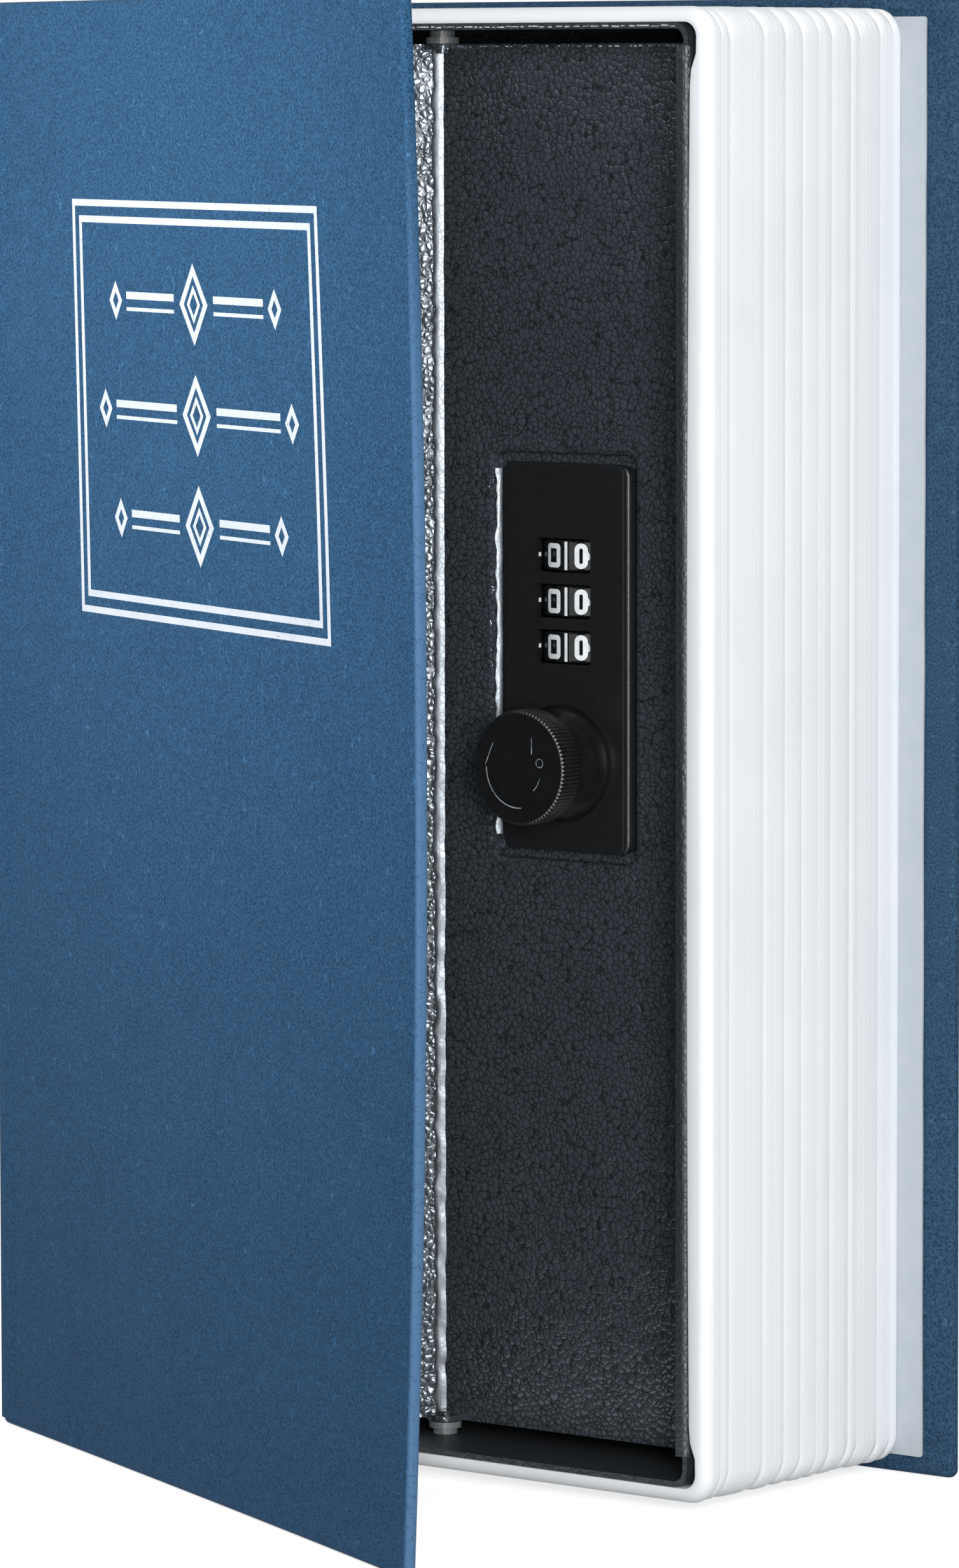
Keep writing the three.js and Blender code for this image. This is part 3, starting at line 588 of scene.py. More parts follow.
# CAD nodes that stay, and what each is made of
keptNodes = {
    "box_walls": boxShadedHammertone,
    "box_back_plate": hammertone,
    "box_front_plate": hammertone,
    "keeper": hammertone,
    "door_panel": hammertone,
    "lock_plate": plain["castZincBlackEnamel"],
    "lock_housing": plain["absMouldedBlack"],
    "dial_1": plain["acetalMouldedBlack"],
    "dial_2": plain["acetalMouldedBlack"],
    "dial_3": plain["acetalMouldedBlack"],
    "hinge_bush_top": plain["nylonTurnedPaintedShade"],
    "hinge_bush_bottom": plain["nylonTurnedPaintedShade"],
    "detent_spring": plain["springSteelRolled"],
    "hinge_pin_top": hammertone,
    "hinge_pin_bottom": hammertone,
}
zincPlated = (
    "keeper_rivet_1", "keeper_rivet_2", "box_rivet_1", "box_rivet_2", "box_rivet_3", "box_rivet_4",
    "dial_axle", "housing_screw_1", "housing_screw_2",
    "change_screw", "knob_spindle", "cam", "cam_washer", "cam_nut",
)
keptNodes.update({name: plain["steelZincPlated"] for name in zincPlated})
for name, material in keptNodes.items():
    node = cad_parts[name]
    node.data.materials.clear()
    node.data.materials.append(material)
print("finishes given to", len(keptNodes), "CAD nodes")

# covers: boards that have warped, with their fore-edge corners bent the most
coverShape = {
    "cornerRadius": 1.4,
    "leastRadius": 0.3,
    "edgeRound": 0.85,
    "bow": 2.4,
    "bowReach": 158,
    "level": 0.3,
    "backBow": 0.2,
    "waver": 0.06,
    # how far in from the board's edge each loop of its faces runs
    "insets": (2.2, 4, 6.5, 10, 14.5, 20, 26, 32, 38, 44, 50, 56, 62, 68, 74, 78.6),
}


def bowAt(s, z, bow):
    u = (book["spineOuter"] - s) / coverShape["bowReach"]
    v = 2 * z / book["height"] - 1
    return bow * u * u * (v * v - coverShape["level"])


def boardLoops(s, z, d, sink):
    # loops from the middle of one face, round the edge, to the middle of the other
    edge = coverShape["edgeRound"]
    steps = [(inset, d[0]) for inset in reversed(coverShape["insets"])]
    for k in range(6):
        angle = math.radians(18 * k)
        steps.append((edge * (1 - math.sin(angle)), d[0] + edge * (1 - math.cos(angle))))
    for k in range(6):
        angle = math.radians(90 - 18 * k)
        steps.append((edge * (1 - math.sin(angle)), d[1] - edge * (1 - math.cos(angle))))
    steps += [(inset, d[1]) for inset in coverShape["insets"]]
    points = []
    for inset, depth in steps:
        radius = max(coverShape["leastRadius"], coverShape["cornerRadius"] - inset)
        loop = roundedOutline((s[0] + inset, s[1] - inset), (z[0] + inset, z[1] - inset), radius, (26, 40))
        for ps, pz in loop:
            points.append(at(ps, depth - sink(ps, pz), pz))
    return points, tube(len(steps), len(loop))


def makeCover(name, d, bow, turn, seed, covering):
    s = (-book["foreOverhang"], book["spineOuter"])

    def sink(ps, pz):
        # the waver fades toward the spine, where the board is held
        waver = noise.noise(Vector((ps / 60, pz / 45, seed))) * coverShape["waver"]
        return bowAt(ps, pz, bow) + waver * min(1, abs(ps - book["spineOuter"]) / 40)

    points, faces = boardLoops(s, (0, book["height"]), d, sink)
    return makeObject(name, points, faces, covering, turn=turn)


front = (book["coverFront"], book["coverFront"] + book["coverThick"])
back = (book["backCover"], book["backCover"] + book["coverThick"])
frontCover = makeCover("front_cover_board", front, coverShape["bow"], coverTurn, 3.1, leatherette)
# the painted highlight on the leatherette starts from where the fore edge really is
foreReach = max(vertex.co.dot(Vector(coverReach)) for vertex in frontCover.data.vertices)
highlightNode = leatherette.node_tree.nodes["paintedHighlight"]
highlightNode.inputs["From Min"].default_value = foreReach - leatheretteLook["highlightMm"][1] * mm
highlightNode.inputs["From Max"].default_value = foreReach - leatheretteLook["highlightMm"][0] * mm
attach(frontCover, "cover")
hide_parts("front_cover")
backCover = makeCover("back_cover_board", back, -coverShape["backBow"], None, 7.7, backCoverShadedLeatherette)
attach(backCover, "book")
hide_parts("back_cover")
print("covers built")

# endpapers, pasted down over the turned-in leatherette and a little wavy where they end
paperShape = {
    "inset": 3.0,
    "foreEdge": -4.9,
    "spineEdge": 144.4,
    "corner": 0.4,
    "thick": 0.35,
    "clear": 0.02,
    "lift": 0.3,
    "loose": 4.5,
    "insets": (0, 0.6, 2, 5, 9, 14, 24, 40, 60),
}


def makeEndpaper(name, d, outward, bow, turn, seed):
    s = (paperShape["foreEdge"], paperShape["spineEdge"])
    z = (paperShape["inset"], book["height"] - paperShape["inset"])
    corner = paperShape["corner"]
    points = []
    rows = [(inset, 0) for inset in reversed(paperShape["insets"])]
    rows += [(inset, 1) for inset in paperShape["insets"]]
    for inset, side in rows:
        loop = roundedOutline((s[0] + inset, s[1] - inset), (z[0] + inset, z[1] - inset), corner, (16, 60), 2)
        for ps, pz in loop:
            # the strip along the fore edge is loose and lifts off the board in waves
            free = max(0, 1 - (ps - s[0]) / paperShape["loose"])
            wave = 0.5 + 0.5 * noise.noise(Vector((seed, pz / 14, 0)))
            lift = paperShape["lift"] * free * wave * outward
            points.append(at(ps, d[side] + lift - bowAt(ps, pz, bow), pz))
    faces = tube(len(rows), len(points) // len(rows))
    return makeObject(name, points, faces, plain["uncoatedEndpaper"], turn=turn)


inside = book["coverFront"] + book["coverThick"] + paperShape["clear"]
sheet = (inside, inside + paperShape["thick"])
frontPaper = makeEndpaper("front_paper", sheet, 1, coverShape["bow"], coverTurn, 1.5)
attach(frontPaper, "cover")
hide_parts("front_endpaper")
inside = book["backCover"] - paperShape["clear"]
sheet = (inside - paperShape["thick"], inside)
backPaper = makeEndpaper("back_paper", sheet, -1, -coverShape["backBow"], None, 4.2)
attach(backPaper, "book")
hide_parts("back_endpaper")
print("endpapers laid")

# spine: a bowed board, and the leatherette joint that the front cover turns on
spineShape = {"front": -0.5, "back": 51.75, "bulge": 3.0, "thick": 2.0, "edgeRound": 0.7, "arcCount": 29}


def spineArc():
    half = (spineShape["back"] - spineShape["front"]) / 2
    bulge = spineShape["bulge"]
    radius = (half * half + bulge * bulge) / (2 * bulge)
    middle = (spineShape["back"] + spineShape["front"]) / 2
    centre = book["spineOuter"] + bulge - radius
    return centre, middle, radius, math.asin(half / radius)


def makeSpine():
    centre, middle, radius, sweep = spineArc()
    edge, count = spineShape["edgeRound"], spineShape["arcCount"]
    angles = [math.radians(18 * k) for k in range(6)]
    levels = [(edge * (1 - math.sin(a)), edge * (1 - math.cos(a))) for a in angles]
    zRows = [(z, inset) for inset, z in levels]
    zRows += [(edge + (book["height"] - 2 * edge) * k / 40, 0) for k in range(1, 40)]
    zRows += [(book["height"] - z, inset) for inset, z in reversed(levels)]
    points = []
    for z, inset in zRows:
        # out along the board's outer face and back along its inner one
        for way, r in ((1, radius - inset), (-1, radius - spineShape["thick"] + inset)):
            for k in range(count):
                angle = way * (2 * sweep * k / (count - 1) - sweep)
                points.append(at(centre + r * math.cos(angle), middle + r * math.sin(angle), z))
    faces = tube(len(zRows), len(points) // len(zRows))
    return makeObject("spine_skin", points, faces, leatherette)


spine = makeSpine()
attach(spine, "book")
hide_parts("spine_board")

# the strips that join boards and spine; the front one bends with the cover
jointPath = {
    # the strip's middle line on the closed book, from the spine to the cover's face, in (s, d)
    "front": [(148.75, 5.0), (148.4, 3.0), (148.1, 1.2), (147.95, -0.4), (147.95, -1.5), (147.85, -2.5),
              (147.3, -3.15), (146.4, -3.22), (144.7, -3.17), (142.2, -3.1), (139.7, -2.98)],
    "back": [(148.75, 46.3), (148.35, 48.3), (148.05, 50.2), (147.95, 51.6), (147.95, 52.6), (147.85, 53.5),
             (147.3, 53.95), (146.2, 54.02), (144.2, 53.97), (141.7, 53.9), (139.7, 53.78)],
    "thick": 0.35,
    "endShare": 0.35,
    "inset": 1.0,
}


def makeJoint(name, path, turning):
    half = jointPath["thick"] / 2
    zRows = [jointPath["inset"] + (book["height"] - 2 * jointPath["inset"]) * k / 40 for k in range(41)]
    count = len(path)
    ring = []
    for n, (s, d) in enumerate(path):
        before, after = path[max(0, n - 1)], path[min(count - 1, n + 1)]
        along = Vector((after[0] - before[0], after[1] - before[1])).normalized()
        thin = half * (jointPath["endShare"] if n in (0, count - 1) else 1)
        ring.append((s - along.y * thin, d + along.x * thin, n))
    for n in reversed(range(count)):
        s, d = path[n]
        other = ring[n]
        ring.append((2 * s - other[0], 2 * d - other[1], n))
    points = []
    for z in zRows:
        for s, d, n in ring:
            # the first three stations stay on the spine and the last three go with the cover
            share = min(1, max(0, (n - 2) / (count - 5))) if turning else 0
            share = share * share * (3 - 2 * share)
            turn = Matrix.Translation(hingeLine)
            turn @= Matrix.Rotation(math.radians(-book["opening"] * share), 4, "Z")
            points.append(turn @ Matrix.Translation(-hingeLine) @ at(s, d, z))
    return makeObject(name, points, tube(len(zRows), len(ring)), leatherette, sharp=60)


frontJoint = makeJoint("front_joint", jointPath["front"], True)
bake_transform(frontJoint)
backJoint = makeJoint("back_joint", jointPath["back"], False)
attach(backJoint, "book")
print("spine and joints built")

# page block: moulded bundles of leaves with fine leaf lines
pageBlock = {
    "s": (0.0, 145.15),
    "z": (1.6, 238.4),
    "depth": 51.6,
    "rimRound": 2.0,
    "cornerRadius": 4.5,
    "openS": (3.75, 143.15),
    "openZ": (4.1, 235.9),
    "openRadius": 2.4,
    "rimEnds": -0.1,
    "rimBow": 0.7,
    "rimLip": 1.3,
    "flare": 1.15,
    "flareFrom": 8.5,
    "flareFull": 4.5,
    "strayReach": 20,
    "lipRound": 0.35,
    "wall": 0.3,
    # valleys between the bundles, by their depth behind the rim; the shallow ones cut less
    "valleys": [3.6, 5.9, 14.8, 20.6, 25.1, 29.2, 32.9, 38.0, 40.5, 46.0, 49.6],
    "shallow": [3.6, 29.2, 40.5, 49.6],
    "shallowShare": 0.45,
    "valleyDeep": 0.26,
    "valleyWide": 0.75,
    # the cuts are flatter on the fore edge, and deep at head and foot where the bundles' ends are rounded
    "sideShare": 0.6,
    "endShare": 2.2,
    "endBow": 0.45,
    "cornerVary": 0.7,
    # leaf lines; real leaves are some 0.1 mm thick and would not show, so the lines are further apart
    "leafPitch": 0.75,
    "leafDeep": 0.05,
    "leafWide": 0.16,
    "stations": 250,
}


def blockCuts():
    # cut at the fore edge and at the ends, and corner radius, at close stations from the rim to the back
    k = pageBlock
    valleys = [0.0] + k["valleys"] + [k["depth"]]
    depths = [k["valleyDeep"] * (k["shallowShare"] if v in k["shallow"] else 1) for v in valleys]
    depths[0] = 0.0
    radii = [k["cornerRadius"] + random.uniform(-k["cornerVary"], k["cornerVary"]) for _ in valleys]
    leaves = []
    d = k["rimRound"] + 0.4
    while d < k["depth"]:
        leaves.append((d, random.uniform(0.3, 1.0)))
        d += k["leafPitch"] * random.uniform(0.6, 1.5)
    rows = []
    for n in range(1, k["stations"] + 1):
        d = k["rimRound"] + (k["depth"] - k["rimRound"]) * n / k["stations"]
        cell = max(c for c in range(len(valleys) - 1) if valleys[c] <= d + 1e-9)
        wide = valleys[cell + 1] - valleys[cell]
        t = (d - valleys[cell]) / wide
        deep = depths[cell] * (1 - t) + depths[cell + 1] * t
        near = min(t, 1 - t) * wide
        cut = deep * math.exp(-((near / k["valleyWide"]) ** 1.1))
        for leaf, share in leaves:
            cut += k["leafDeep"] * share * math.exp(-(((d - leaf) / k["leafWide"]) ** 2))
        end = cut * k["endShare"] + k["endBow"] * (2 * t - 1) ** 4
        rows.append((d, cut * k["sideShare"], end, radii[cell] * (1 - t) + radii[cell + 1] * t))
    return rows


def rimShift(s, z, share):
    # how far the opening's fore-edge side strays from straight: out at the corners, in between them
    k = pageBlock
    if s > k["strayReach"]:
        return 0.0
    near = min(z - k["openZ"][0], k["openZ"][1] - z)
    t = min(1, max(0, (k["flareFrom"] - near) / (k["flareFrom"] - k["flareFull"])))
    middle = 1 - (2 * z / book["height"] - 1) ** 2
    flare = k["flare"] * t * t * (3 - 2 * t)
    return share * (k["rimEnds"] + k["rimBow"] * middle) - flare


def makePageBlock():
    k = pageBlock
    s, z, openS, openZ = k["s"], k["z"], k["openS"], k["openZ"]
    soft, rim = k["lipRound"], k["rimRound"]
    # the lip inside the opening, which strays by rimShift
    loops = [(openS, openZ, k["openRadius"], d, 1) for d in (k["rimLip"], soft)]
    for angle in (math.radians(45), math.radians(90)):
        grow = soft * (1 - math.cos(angle))
        loops.append(((openS[0] - grow, openS[1] + grow), (openZ[0] - grow, openZ[1] + grow),
                      k["openRadius"] + grow, soft * (1 - math.sin(angle)), 1))
    # over the rounded rim to the outside
    for n in range(9):
        angle = math.radians(90 * n / 8)
        inset = rim * (1 - math.sin(angle))
        loops.append(((s[0] + inset, s[1] - inset), (z[0] + inset, z[1] - inset),
                      k["cornerRadius"] - inset, rim * (1 - math.cos(angle)), None))
    for d, cut, end, radius in blockCuts():
        loops.append(((s[0] + cut, s[1] - 0.1), (z[0] + end, z[1] - end), radius - cut, d, None))
    # and back inside the shell, which keeps the lip's flares but not its bow
    loops += [(openS, openZ, k["openRadius"], d, 0) for d in (k["depth"], k["rimLip"] + k["wall"])]
    points = []
    for loopS, loopZ, radius, d, share in loops:
        for ps, pz in roundedOutline(loopS, loopZ, radius, (20, 90), 8):
            shift = 0 if share is None else rimShift(ps, pz, share)
            points.append(at(ps + shift, d, pz))
    faces = bridge(len(loops), len(points) // len(loops), closed=True)
    return makeObject("leaf_block", points, faces, plain["polystyreneMoulded"])


leafBlock = makePageBlock()
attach(leafBlock, "book")
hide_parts("page_block")
print("page block built")

# white foil on the cover: a double frame, and plain rules and lozenges inside it
foilFrame = {
    "start": 34.0,
    "width": 93.5,
    "z": (140.2, 207.7),
    "lean": 1.5,
    "line": 1.1,
    "step": 2.65,
    "lift": 0.03,
}
ornament = {
    # height of each row of rules, and how far they reach from the middle
    "rows": ((191.5, 26), (173.9, 31), (156.3, 26)),
    "rulesFrom": 7.5,
    # each pair of rules: height above the row, and thickness
    "rules": ((0.9, 1.2), (-1.3, 0.6)),
    # lozenges: width, height and thickness of line
    "outer": (9.0, 11.0, 1.3),
    "inner": (4.0, 4.9, 0.8),
    "end": (3.6, 4.6, 1.1),
    "endGap": 4.2,
}

# the foil is laid on the cover as it is bowed
coverSkin = BVHTree.FromPolygons([v.co.copy() for v in frontCover.data.vertices],
                                [tuple(face.vertices) for face in frontCover.data.polygons])
coverInward = coverTurn.to_3x3() @ Vector((0, 1, 0))


def ontoCover(u, z):
    low, high = foilFrame["z"]
    tilt = foilFrame["lean"] * (2 * (z - low) / (high - low) - 1)
    start = coverTurn @ at(book["spineOuter"] - u + tilt, book["coverFront"] - 8, z)
    place = coverSkin.ray_cast(start, coverInward)[0]
    return place - coverInward * foilFrame["lift"] * mm


def frameStrokes():
    strokes = []
    for inset in (foilFrame["line"] / 2, foilFrame["step"] + foilFrame["line"] / 2):
        u = (foilFrame["start"] + inset, foilFrame["start"] + foilFrame["width"] - inset)
        z = (foilFrame["z"][0] + inset, foilFrame["z"][1] - inset)
        strokes.append(([(u[0], z[0]), (u[1], z[0]), (u[1], z[1]), (u[0], z[1])], foilFrame["line"], True))
    return strokes


def lozenge(u, z, wide, high, line):
    return ([(u, z - high / 2), (u + wide / 2, z), (u, z + high / 2), (u - wide / 2, z)], line, True)


def ornamentStrokes():
    middle = foilFrame["start"] + foilFrame["width"] / 2
    strokes = []
    for z, reach in ornament["rows"]:
        strokes.append(lozenge(middle, z, *ornament["outer"]))
        strokes.append(lozenge(middle, z, *ornament["inner"]))
        for side in (-1, 1):
            for above, line in ornament["rules"]:
                ends = [(middle + side * u, z + above) for u in (ornament["rulesFrom"], reach)]
                strokes.append((ends, line, False))
            strokes.append(lozenge(middle + side * (reach + ornament["endGap"]), z, *ornament["end"]))
    return strokes


frameFoil = layStrokes("foil_frame", frameStrokes(), ontoCover, foil)
ornamentFoil = layStrokes("foil_ornament", ornamentStrokes(), ontoCover, foil)
for piece in (frameFoil, ornamentFoil):
    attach(piece, "cover")
print("foil stamped")

# code wheels: digits, dividing lines, and the white index marks beside the windows
codeMarks = {
    "centre": (39.9, 22.4),
    "radius": 8.5,
    "z": {"code_dial_1": 150.5, "code_dial_2": 143.1, "code_dial_3": 135.7},
    "restAngle": -12.8,
    "stroke": 0.82,
    "lift": 0.02,
    "lineWide": 0.55,
    "lineTall": 4.6,
}


def roundLoop(wide, high, radius, dx=0.0, dz=0.0):
    points = []
    for cx, cz, start in ((1, 1, 0), (-1, 1, 90), (-1, -1, 180), (1, -1, 270)):
        for k in range(5):
            angle = math.radians(start + 22.5 * k)
            points.append((dx + cx * (wide - radius) + radius * math.cos(angle),
                           dz + cz * (high - radius) + radius * math.sin(angle)))
    return points


# each digit as lines in mm: x runs round the wheel and y along its axle
digitStrokes = {
    0: [(roundLoop(1.15, 1.55, 0.3), True)],
    1: [([(-0.55, 1.05), (0.1, 1.65), (0.1, -1.65)], False)],
    2: [([(-0.95, 1.0), (-0.6, 1.55), (0.5, 1.6), (0.95, 1.0), (0.75, 0.2), (-0.9, -1.6),
          (0.95, -1.6)], False)],
    3: [([(-0.85, 1.6), (0.85, 1.6), (0.0, 0.4), (0.75, 0.0), (0.95, -0.8), (0.5, -1.5), (-0.4, -1.6),
          (-0.9, -1.2)], False)],
    4: [([(0.45, -1.65), (0.45, 1.6), (-0.95, -0.7), (1.0, -0.7)], False)],
    5: [([(0.85, 1.6), (-0.7, 1.6), (-0.8, 0.3), (0.35, 0.4), (0.95, -0.3), (0.85, -1.1), (0.2, -1.6),
          (-0.85, -1.4)], False)],
    6: [(roundLoop(0.7, 1.65, 0.65), True), ([(-0.7, -0.7), (-1.45, 0.5)], False)],
    7: [([(-0.95, 1.6), (0.95, 1.6), (-0.2, -1.65)], False)],
    8: [(roundLoop(0.7, 0.75, 0.6, 0.0, 0.9), True), (roundLoop(0.9, 0.85, 0.7, 0.0, -0.8), True)],
    9: [(roundLoop(0.7, 1.65, 0.65), True), ([(0.7, 0.7), (1.45, -0.5)], False)],
}


def makeWheelMarks(body, z):
    radius = codeMarks["radius"]
    pitch = 2 * math.pi * radius / 10
    offset = math.radians(codeMarks["restAngle"]) * radius

    def onto(a, b):
        angle = (a + offset) / radius
        reach = radius + codeMarks["lift"]
        s, d = codeMarks["centre"]
        return at(s - reach * math.sin(angle), d - reach * math.cos(angle), z + b)

    strokes = []
    for digit, lines in digitStrokes.items():
        shift = -digit * pitch
        for line, closed in lines:
            strokes.append(([(x + shift, y) for x, y in line], codeMarks["stroke"], closed))
        # no line shows between the nought and the one
        if digit == 1:
            continue
        half, between = codeMarks["lineTall"] / 2, shift + pitch / 2
        strokes.append(([(between, -half), (between, half)], codeMarks["lineWide"], False))
    marks = layStrokes(body + "_marks", strokes, onto, plain["padPrintInk"], step=0.6)
    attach(marks, body)


for body, z in codeMarks["z"].items():
    makeWheelMarks(body, z)

indexMark = {"s": 45.37, "d": (14.75, 15.4), "tall": 0.65}


def ontoWindowWall(d, z):
    return at(indexMark["s"], d, z)


indexStrokes = [([(d, z) for d in indexMark["d"]], indexMark["tall"], False) for z in codeMarks["z"].values()]
indexMarks = layStrokes("index_marks", indexStrokes, ontoWindowWall, plain["padPrintInk"])
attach(indexMarks, "door")
print("code marks printed")

# knob: a knurled head on a waisted neck and a domed collar
knobShape = {
    "centre": (39.9, 116.9),
    "front": 2.3,
    "head": 4.9,
    "back": 14.1,
    "radius": 9.3,
    "neck": 7.5,
    "collar": 9.5,
    "band": 1.0,
    "ribs": 86,
    "ribDeep": 0.42,
    # painted highlights on the ribs: their colour, a faint share on every rib crest, and the row where the
    # ribs' front corners glint
    "highlightTint": "#c2c5c7",
    "ribGlint": 0.035,
    # the row of the knob's skin that is the front corner of its ribs
    "glintRow": 5,
    "chamfer": 0.4,
    # the slightly dished face: radius, and depth behind the rim
    "face": [(0.6, 0.12), (4.0, 0.1), (7.6, 0.06), (8.7, 0.02)],
    "markLift": 0.03,
}


def knobPoint(radius, angle, d):
    s, z = knobShape["centre"]
    return at(s - radius * math.cos(angle), d, z + radius * math.sin(angle))


def addPaintedHighlight(material, highlightTint):
    # the base colour goes over to a painted highlight colour by the share that a piece carries on its
    # vertices
    tree = material.node_tree
    shader = tree.nodes["Principled BSDF"]
    share = addNode(tree, "ShaderNodeAttribute", {"attribute_name": "paintedHighlight"})
    mix = addNode(tree, "ShaderNodeMix", {"data_type": "RGBA", 7: colour(highlightTint)},
                  {0: share.outputs["Fac"], 6: shader.inputs["Base Color"].links[0].from_socket})
    tree.links.new(mix.outputs[2], shader.inputs["Base Color"])


addPaintedHighlight(plain["absMouldedBlack"], knobShape["highlightTint"])


def makeKnob():
    k = knobShape
    count = k["ribs"] * 4
    start, end = k["front"], k["front"] + k["head"]
    # radius, depth and share of the ribs' depth, from the middle of the face to the back of the collar
    rows = [(radius, start + behind, 0) for radius, behind in k["face"]]
    rows += [(k["radius"] - k["chamfer"], start, 0.3), (k["radius"] - 0.12, start + 0.16, 1),
             (k["radius"], start + k["chamfer"], 1), (k["radius"], end - k["chamfer"], 1),
             (k["radius"] - 0.12, end - 0.16, 0.8), (k["radius"] - k["chamfer"], end, 0.15)]
    neckStart, neckEnd = end + 0.45, k["back"] - k["band"]
    for n in range(15):
        swell = (1 - math.cos(math.pi * n / 14)) / 2
        d = neckStart + (neckEnd - neckStart) * n / 14
        rows.append((k["neck"] + (k["collar"] - k["neck"]) * swell, d, 0))
    rows += [(k["collar"], k["back"] - 0.25, 0), (k["collar"] - 0.1, k["back"] - 0.06, 0),
             (k["collar"] - 0.3, k["back"], 0), (3.2, k["back"], 0)]
    points = []
    for radius, d, share in rows:
        for n in range(count):
            groove = k["ribDeep"] * share * (0.5 - 0.5 * math.cos(math.pi * n / 2))
            points.append(knobPoint(radius - groove, 2 * math.pi * n / count, d))
    grip = makeObject("knob_grip", points, tube(len(rows), count), plain["absMouldedBlack"], sharp=40)
    layer = grip.data.attributes.new("paintedHighlight", "FLOAT", "POINT")
    for n in range(len(points)):
        row, turn = divmod(n, count)
        crest = rows[row][2] * (0.5 + 0.5 * math.cos(math.pi * turn / 2))
        # a painted highlight on the front corner of each rib, strongest toward the fore edge where the ribs
        # face the lamp; every other crest carries a faint one
        bare = max(0.0, math.cos(2 * math.pi * turn / count - 0.15)) if row == k["glintRow"] else k["ribGlint"]
        layer.data[n].value = crest * bare
    return grip


def ontoKnobFace(x, z):
    s, middle = knobShape["centre"]
    return at(s - x, knobShape["front"] + knobShape["markLift"], middle + z)


knobGrip = makeKnob()
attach(knobGrip, "turn_knob")
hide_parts("knob")


def arcPoints(radius, degrees, x=0.0, z=0.0):
    angles = [math.radians(a) for a in degrees]
    return [(x + radius * math.cos(a), z + radius * math.sin(a)) for a in angles]


# marks cut into the knob's face, as (points, width, closed)
knobStrokes = [
    (arcPoints(6.45, range(180, 282, 6)), 0.19, False),
    ([(-6.7, 0.2), (-5.1, 3.9)], 0.13, False),
    ([(2.8, 2.4), (2.8, 5.0)], 0.17, False),
    (arcPoints(0.7, range(0, 360, 30), 4.4, 1.0), 0.14, True),
    (arcPoints(4.7, range(-18, -54, -6)), 0.14, False),
]
knobMarks = layStrokes("knob_marks", knobStrokes, ontoKnobFace, plain["wipedInPaint"])
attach(knobMarks, "turn_knob")
print("knob turned")

# the lock front's rounded shoulder on the side of the fore edge, down to the floor of the pocket
shoulderShape = {
    # places (s, d) from the plate's face at s = root, over the edge and back
    "root": 27.6,
    "profile": [(27.6, 14.2), (27.2, 14.21), (26.92, 14.27), (26.72, 14.4), (26.56, 14.65), (26.4, 15.2),
                (26.2, 16.1), (27.6, 16.1)],
    "z": (102.9, 165.1),
    "round": 1.6,
    "rows": 60,
}


def makeShoulder():
    k = shoulderShape
    points = []
    for row in range(k["rows"] + 1):
        z = k["z"][0] + (k["z"][1] - k["z"][0]) * (1 - math.cos(math.pi * row / k["rows"])) / 2
        inset = max(0.0, k["round"] - min(z - k["z"][0], k["z"][1] - z))
        share = math.sqrt(max(0.0, 1 - (inset / k["round"]) ** 2))
        for s, d in k["profile"]:
            points.append(at(k["root"] + (s - k["root"]) * share, d, z))
    faces = tube(k["rows"] + 1, len(k["profile"]))
    return makeObject("lock_plate_shoulder", points, faces, plain["castZincBlackEnamel"], sharp=50)


lockShoulder = makeShoulder()
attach(lockShoulder, "door")

# painted highlights: pale specks along the front edge of the box's ceiling and along the head of the door,
# where the edges' hammertone catches the lamp
paintedEdgeGlints = {
    "ceiling_glints": {
        "body": "book", "s": (6.5, 66.0), "d": -0.03, "z": 235.35,
        "long": (0.6, 2.6), "gap": (0.2, 0.9), "tall": (0.1, 0.24), "seed": 4,
    },
    "door_head_glints": {
        "body": "door", "s": (9.0, 63.5), "d": 14.37, "z": 232.35,
        "long": (0.2, 0.8), "gap": (0.2, 2.2), "tall": (0.1, 0.26), "seed": 9,
    },
}


def makeEdgeGlints(name, look):
    draw = random.Random(look["seed"])
    dashes = []
    start = look["s"][0]
    while start < look["s"][1]:
        end = start + draw.uniform(*look["long"])
        z = look["z"] + draw.uniform(-0.06, 0.06)
        line = [(start, z), (end, z + draw.uniform(-0.05, 0.05))]
        dashes.append((line, draw.uniform(*look["tall"]), False))
        start = end + draw.uniform(*look["gap"])
    glints = layStrokes(name, dashes, lambda a, b: at(a, look["d"], b), plain["barePrimer"], step=0.6)
    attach(glints, look["body"])


for glintName, glintLook in paintedEdgeGlints.items():
    makeEdgeGlints(glintName, glintLook)
print("lock shoulder and chipped edges made")

# the run of paint in the door's fold, and the one on the pocket's hinge-side wall, both paler as a painted
# highlight
paintRuns = {
    # corner is in (s, d), and lean the angle from straight out of the door along which the profile runs;
    # the first points of each profile sit on the steel and waver along the run
    "fold": {
        "corner": (65.2, 14.4),
        "lean": 50,
        "profile": [(1.45, -0.02), (1.3, 0.14), (1.12, 0.27), (0.8, 0.35), (0.2, 0.37), (-0.54, 0.36),
                    (-0.35, -0.2), (0.4, -0.3), (1.4, -0.2)],
        "z": (7.5, 232.5),
        "waver": 0.55,
        "waveMm": 1.6,
    },
    "pocket": {
        "corner": (54.35, 14.36),
        "lean": 42,
        "profile": [(-0.4, 0.0), (-0.55, 0.05), (-0.8, 0.08), (-1.1, 0.08), (-1.45, 0.0), (-1.45, -0.3),
                    (-0.5, -0.3)],
        "z": (104.6, 164.2),
        "waver": 0.35,
        "waveMm": 1.9,
    },
}


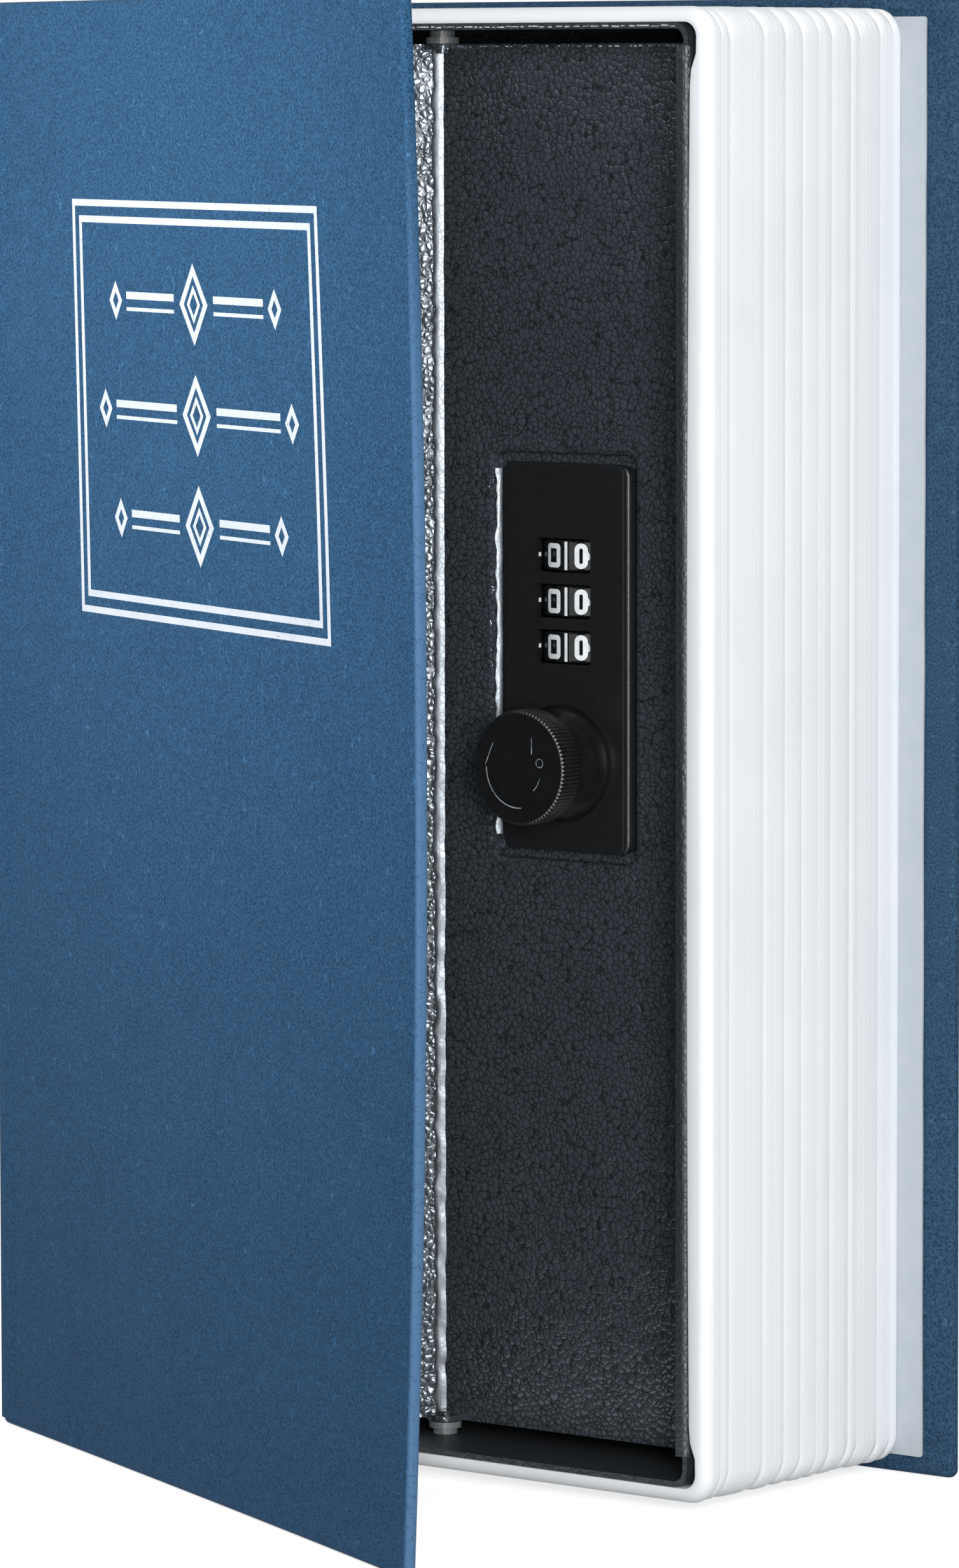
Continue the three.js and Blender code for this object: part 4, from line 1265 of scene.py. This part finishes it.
def makeRun(name, look):
    lean = math.radians(look["lean"])
    along = Vector((math.sin(lean), -math.cos(lean)))
    across = Vector((along.y, -along.x))
    count = len(look["profile"])
    wavering = {0: 1.0, 1: 0.9, 2: 0.5, count - 1: 1.0}
    rows = round((look["z"][1] - look["z"][0]) / 0.6)
    points = []
    for row in range(rows + 1):
        z = look["z"][0] + (look["z"][1] - look["z"][0]) * row / rows
        for n, (u, v) in enumerate(look["profile"]):
            waver = look["waver"] * wavering.get(n, 0.0)
            u += waver * noise.noise(Vector((z / look["waveMm"], 0.3, 5.1)))
            # the run sags into drops toward the foot of the door
            drops = 0.05 + 0.11 * min(1.0, max(0.0, (118 - z) / 40))
            v += drops * (0 < n < 6) * noise.noise(Vector((z / 2.3, n / 3, 9.4)))
            s, d = Vector(look["corner"]) + along * u + across * v
            points.append(at(s, d, z))
    run = makeObject(name, points, tube(rows + 1, count), pooledHighlightHammertone, sharp=60)
    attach(run, "door")


makeRun("fold_run", paintRuns["fold"])
makeRun("pocket_run", paintRuns["pocket"])
print("paint runs laid")

# floor, world and lamps
stageLook = {
    "floor": "#f4f5f6",
    "glow": 0.7,
    # what the floor throws back onto the object is darker than what the camera sees of it
    "bounce": "#6a6d70",
    "size": 6.0,
    "belowMm": 0.2,
    "worldLight": 0.5,
}


def addSeenRays(tree):
    # 1 where the camera sees the surface, straight, in a gloss or through glass
    path = addNode(tree, "ShaderNodeLightPath")
    direct = addNode(tree, "ShaderNodeMath", {"operation": "MAXIMUM"},
                     {0: path.outputs["Is Camera Ray"], 1: path.outputs["Is Glossy Ray"]})
    either = addNode(tree, "ShaderNodeMath", {"operation": "MAXIMUM"},
                     {0: direct.outputs[0], 1: path.outputs["Is Transmission Ray"]})
    return either.outputs[0]


def makeFloor():
    material = bpy.data.materials.new("studioFloor")
    material.use_nodes = True
    tree = material.node_tree
    tree.nodes.clear()
    paint = addNode(tree, "ShaderNodeBsdfDiffuse", {"Color": colour(stageLook["floor"])})
    glow = addNode(tree, "ShaderNodeEmission", {"Color": (1, 1, 1, 1), "Strength": stageLook["glow"]})
    seen = addNode(tree, "ShaderNodeAddShader", links={0: paint.outputs[0], 1: glow.outputs[0]})
    dim = addNode(tree, "ShaderNodeBsdfDiffuse", {"Color": colour(stageLook["bounce"])})
    both = addNode(tree, "ShaderNodeMixShader",
                   links={0: addSeenRays(tree), 1: dim.outputs[0], 2: seen.outputs[0]})
    addNode(tree, "ShaderNodeOutputMaterial", links={"Surface": both.outputs[0]})
    half = stageLook["size"] / 2
    mesh = bpy.data.meshes.new("floor")
    corners = [(-half, -half, 0), (half, -half, 0), (half, half, 0), (-half, half, 0)]
    mesh.from_pydata(corners, [], [(0, 1, 2, 3)])
    mesh.materials.append(material)
    floor = bpy.data.objects.new("floor", mesh)
    floor.location.z = -stageLook["belowMm"] * mm
    bpy.context.scene.collection.objects.link(floor)


def makeWorld():
    world = bpy.data.worlds.new("studio")
    bpy.context.scene.world = world
    world.use_nodes = True
    tree = world.node_tree
    tree.nodes.clear()
    shown = addNode(tree, "ShaderNodeBackground", {"Color": (1, 1, 1, 1), "Strength": 1.0})
    fill = addNode(tree, "ShaderNodeBackground", {"Color": (1, 1, 1, 1), "Strength": stageLook["worldLight"]})
    both = addNode(tree, "ShaderNodeMixShader",
                   links={0: addSeenRays(tree), 1: fill.outputs[0], 2: shown.outputs[0]})
    addNode(tree, "ShaderNodeOutputWorld", links={"Surface": both.outputs[0]})


lamps = {
    # place and aim in metres, width and height in metres, power in watts, spread in degrees
    "frontSoftbox": {
        "place": (1.03, -1.08, 0.24), "aim": (0.04, -0.05, 0.12),
        "size": (0.45, 0.75), "power": 22.5, "spread": 180,
    },
    "coverSoftbox": {
        "place": (-0.3, -0.62, 0.2), "aim": (-0.03, -0.1, 0.235),
        "size": (0.12, 0.12), "power": 0.21, "spread": 42,
    },
}


def addLamps():
    for name, look in lamps.items():
        data = bpy.data.lights.new(name, "AREA")
        data.shape = "RECTANGLE"
        data.size, data.size_y = look["size"]
        data.energy = look["power"]
        data.spread = math.radians(look["spread"])
        lamp = bpy.data.objects.new(name, data)
        place = Vector(look["place"])
        aim = (Vector(look["aim"]) - place).to_track_quat("-Z", "Y")
        lamp.matrix_world = Matrix.Translation(place) @ aim.to_matrix().to_4x4()
        bpy.context.scene.collection.objects.link(lamp)


makeFloor()
makeWorld()
addLamps()
bpy.context.scene.view_settings.view_transform = "Standard"
print("stage and lamps set")
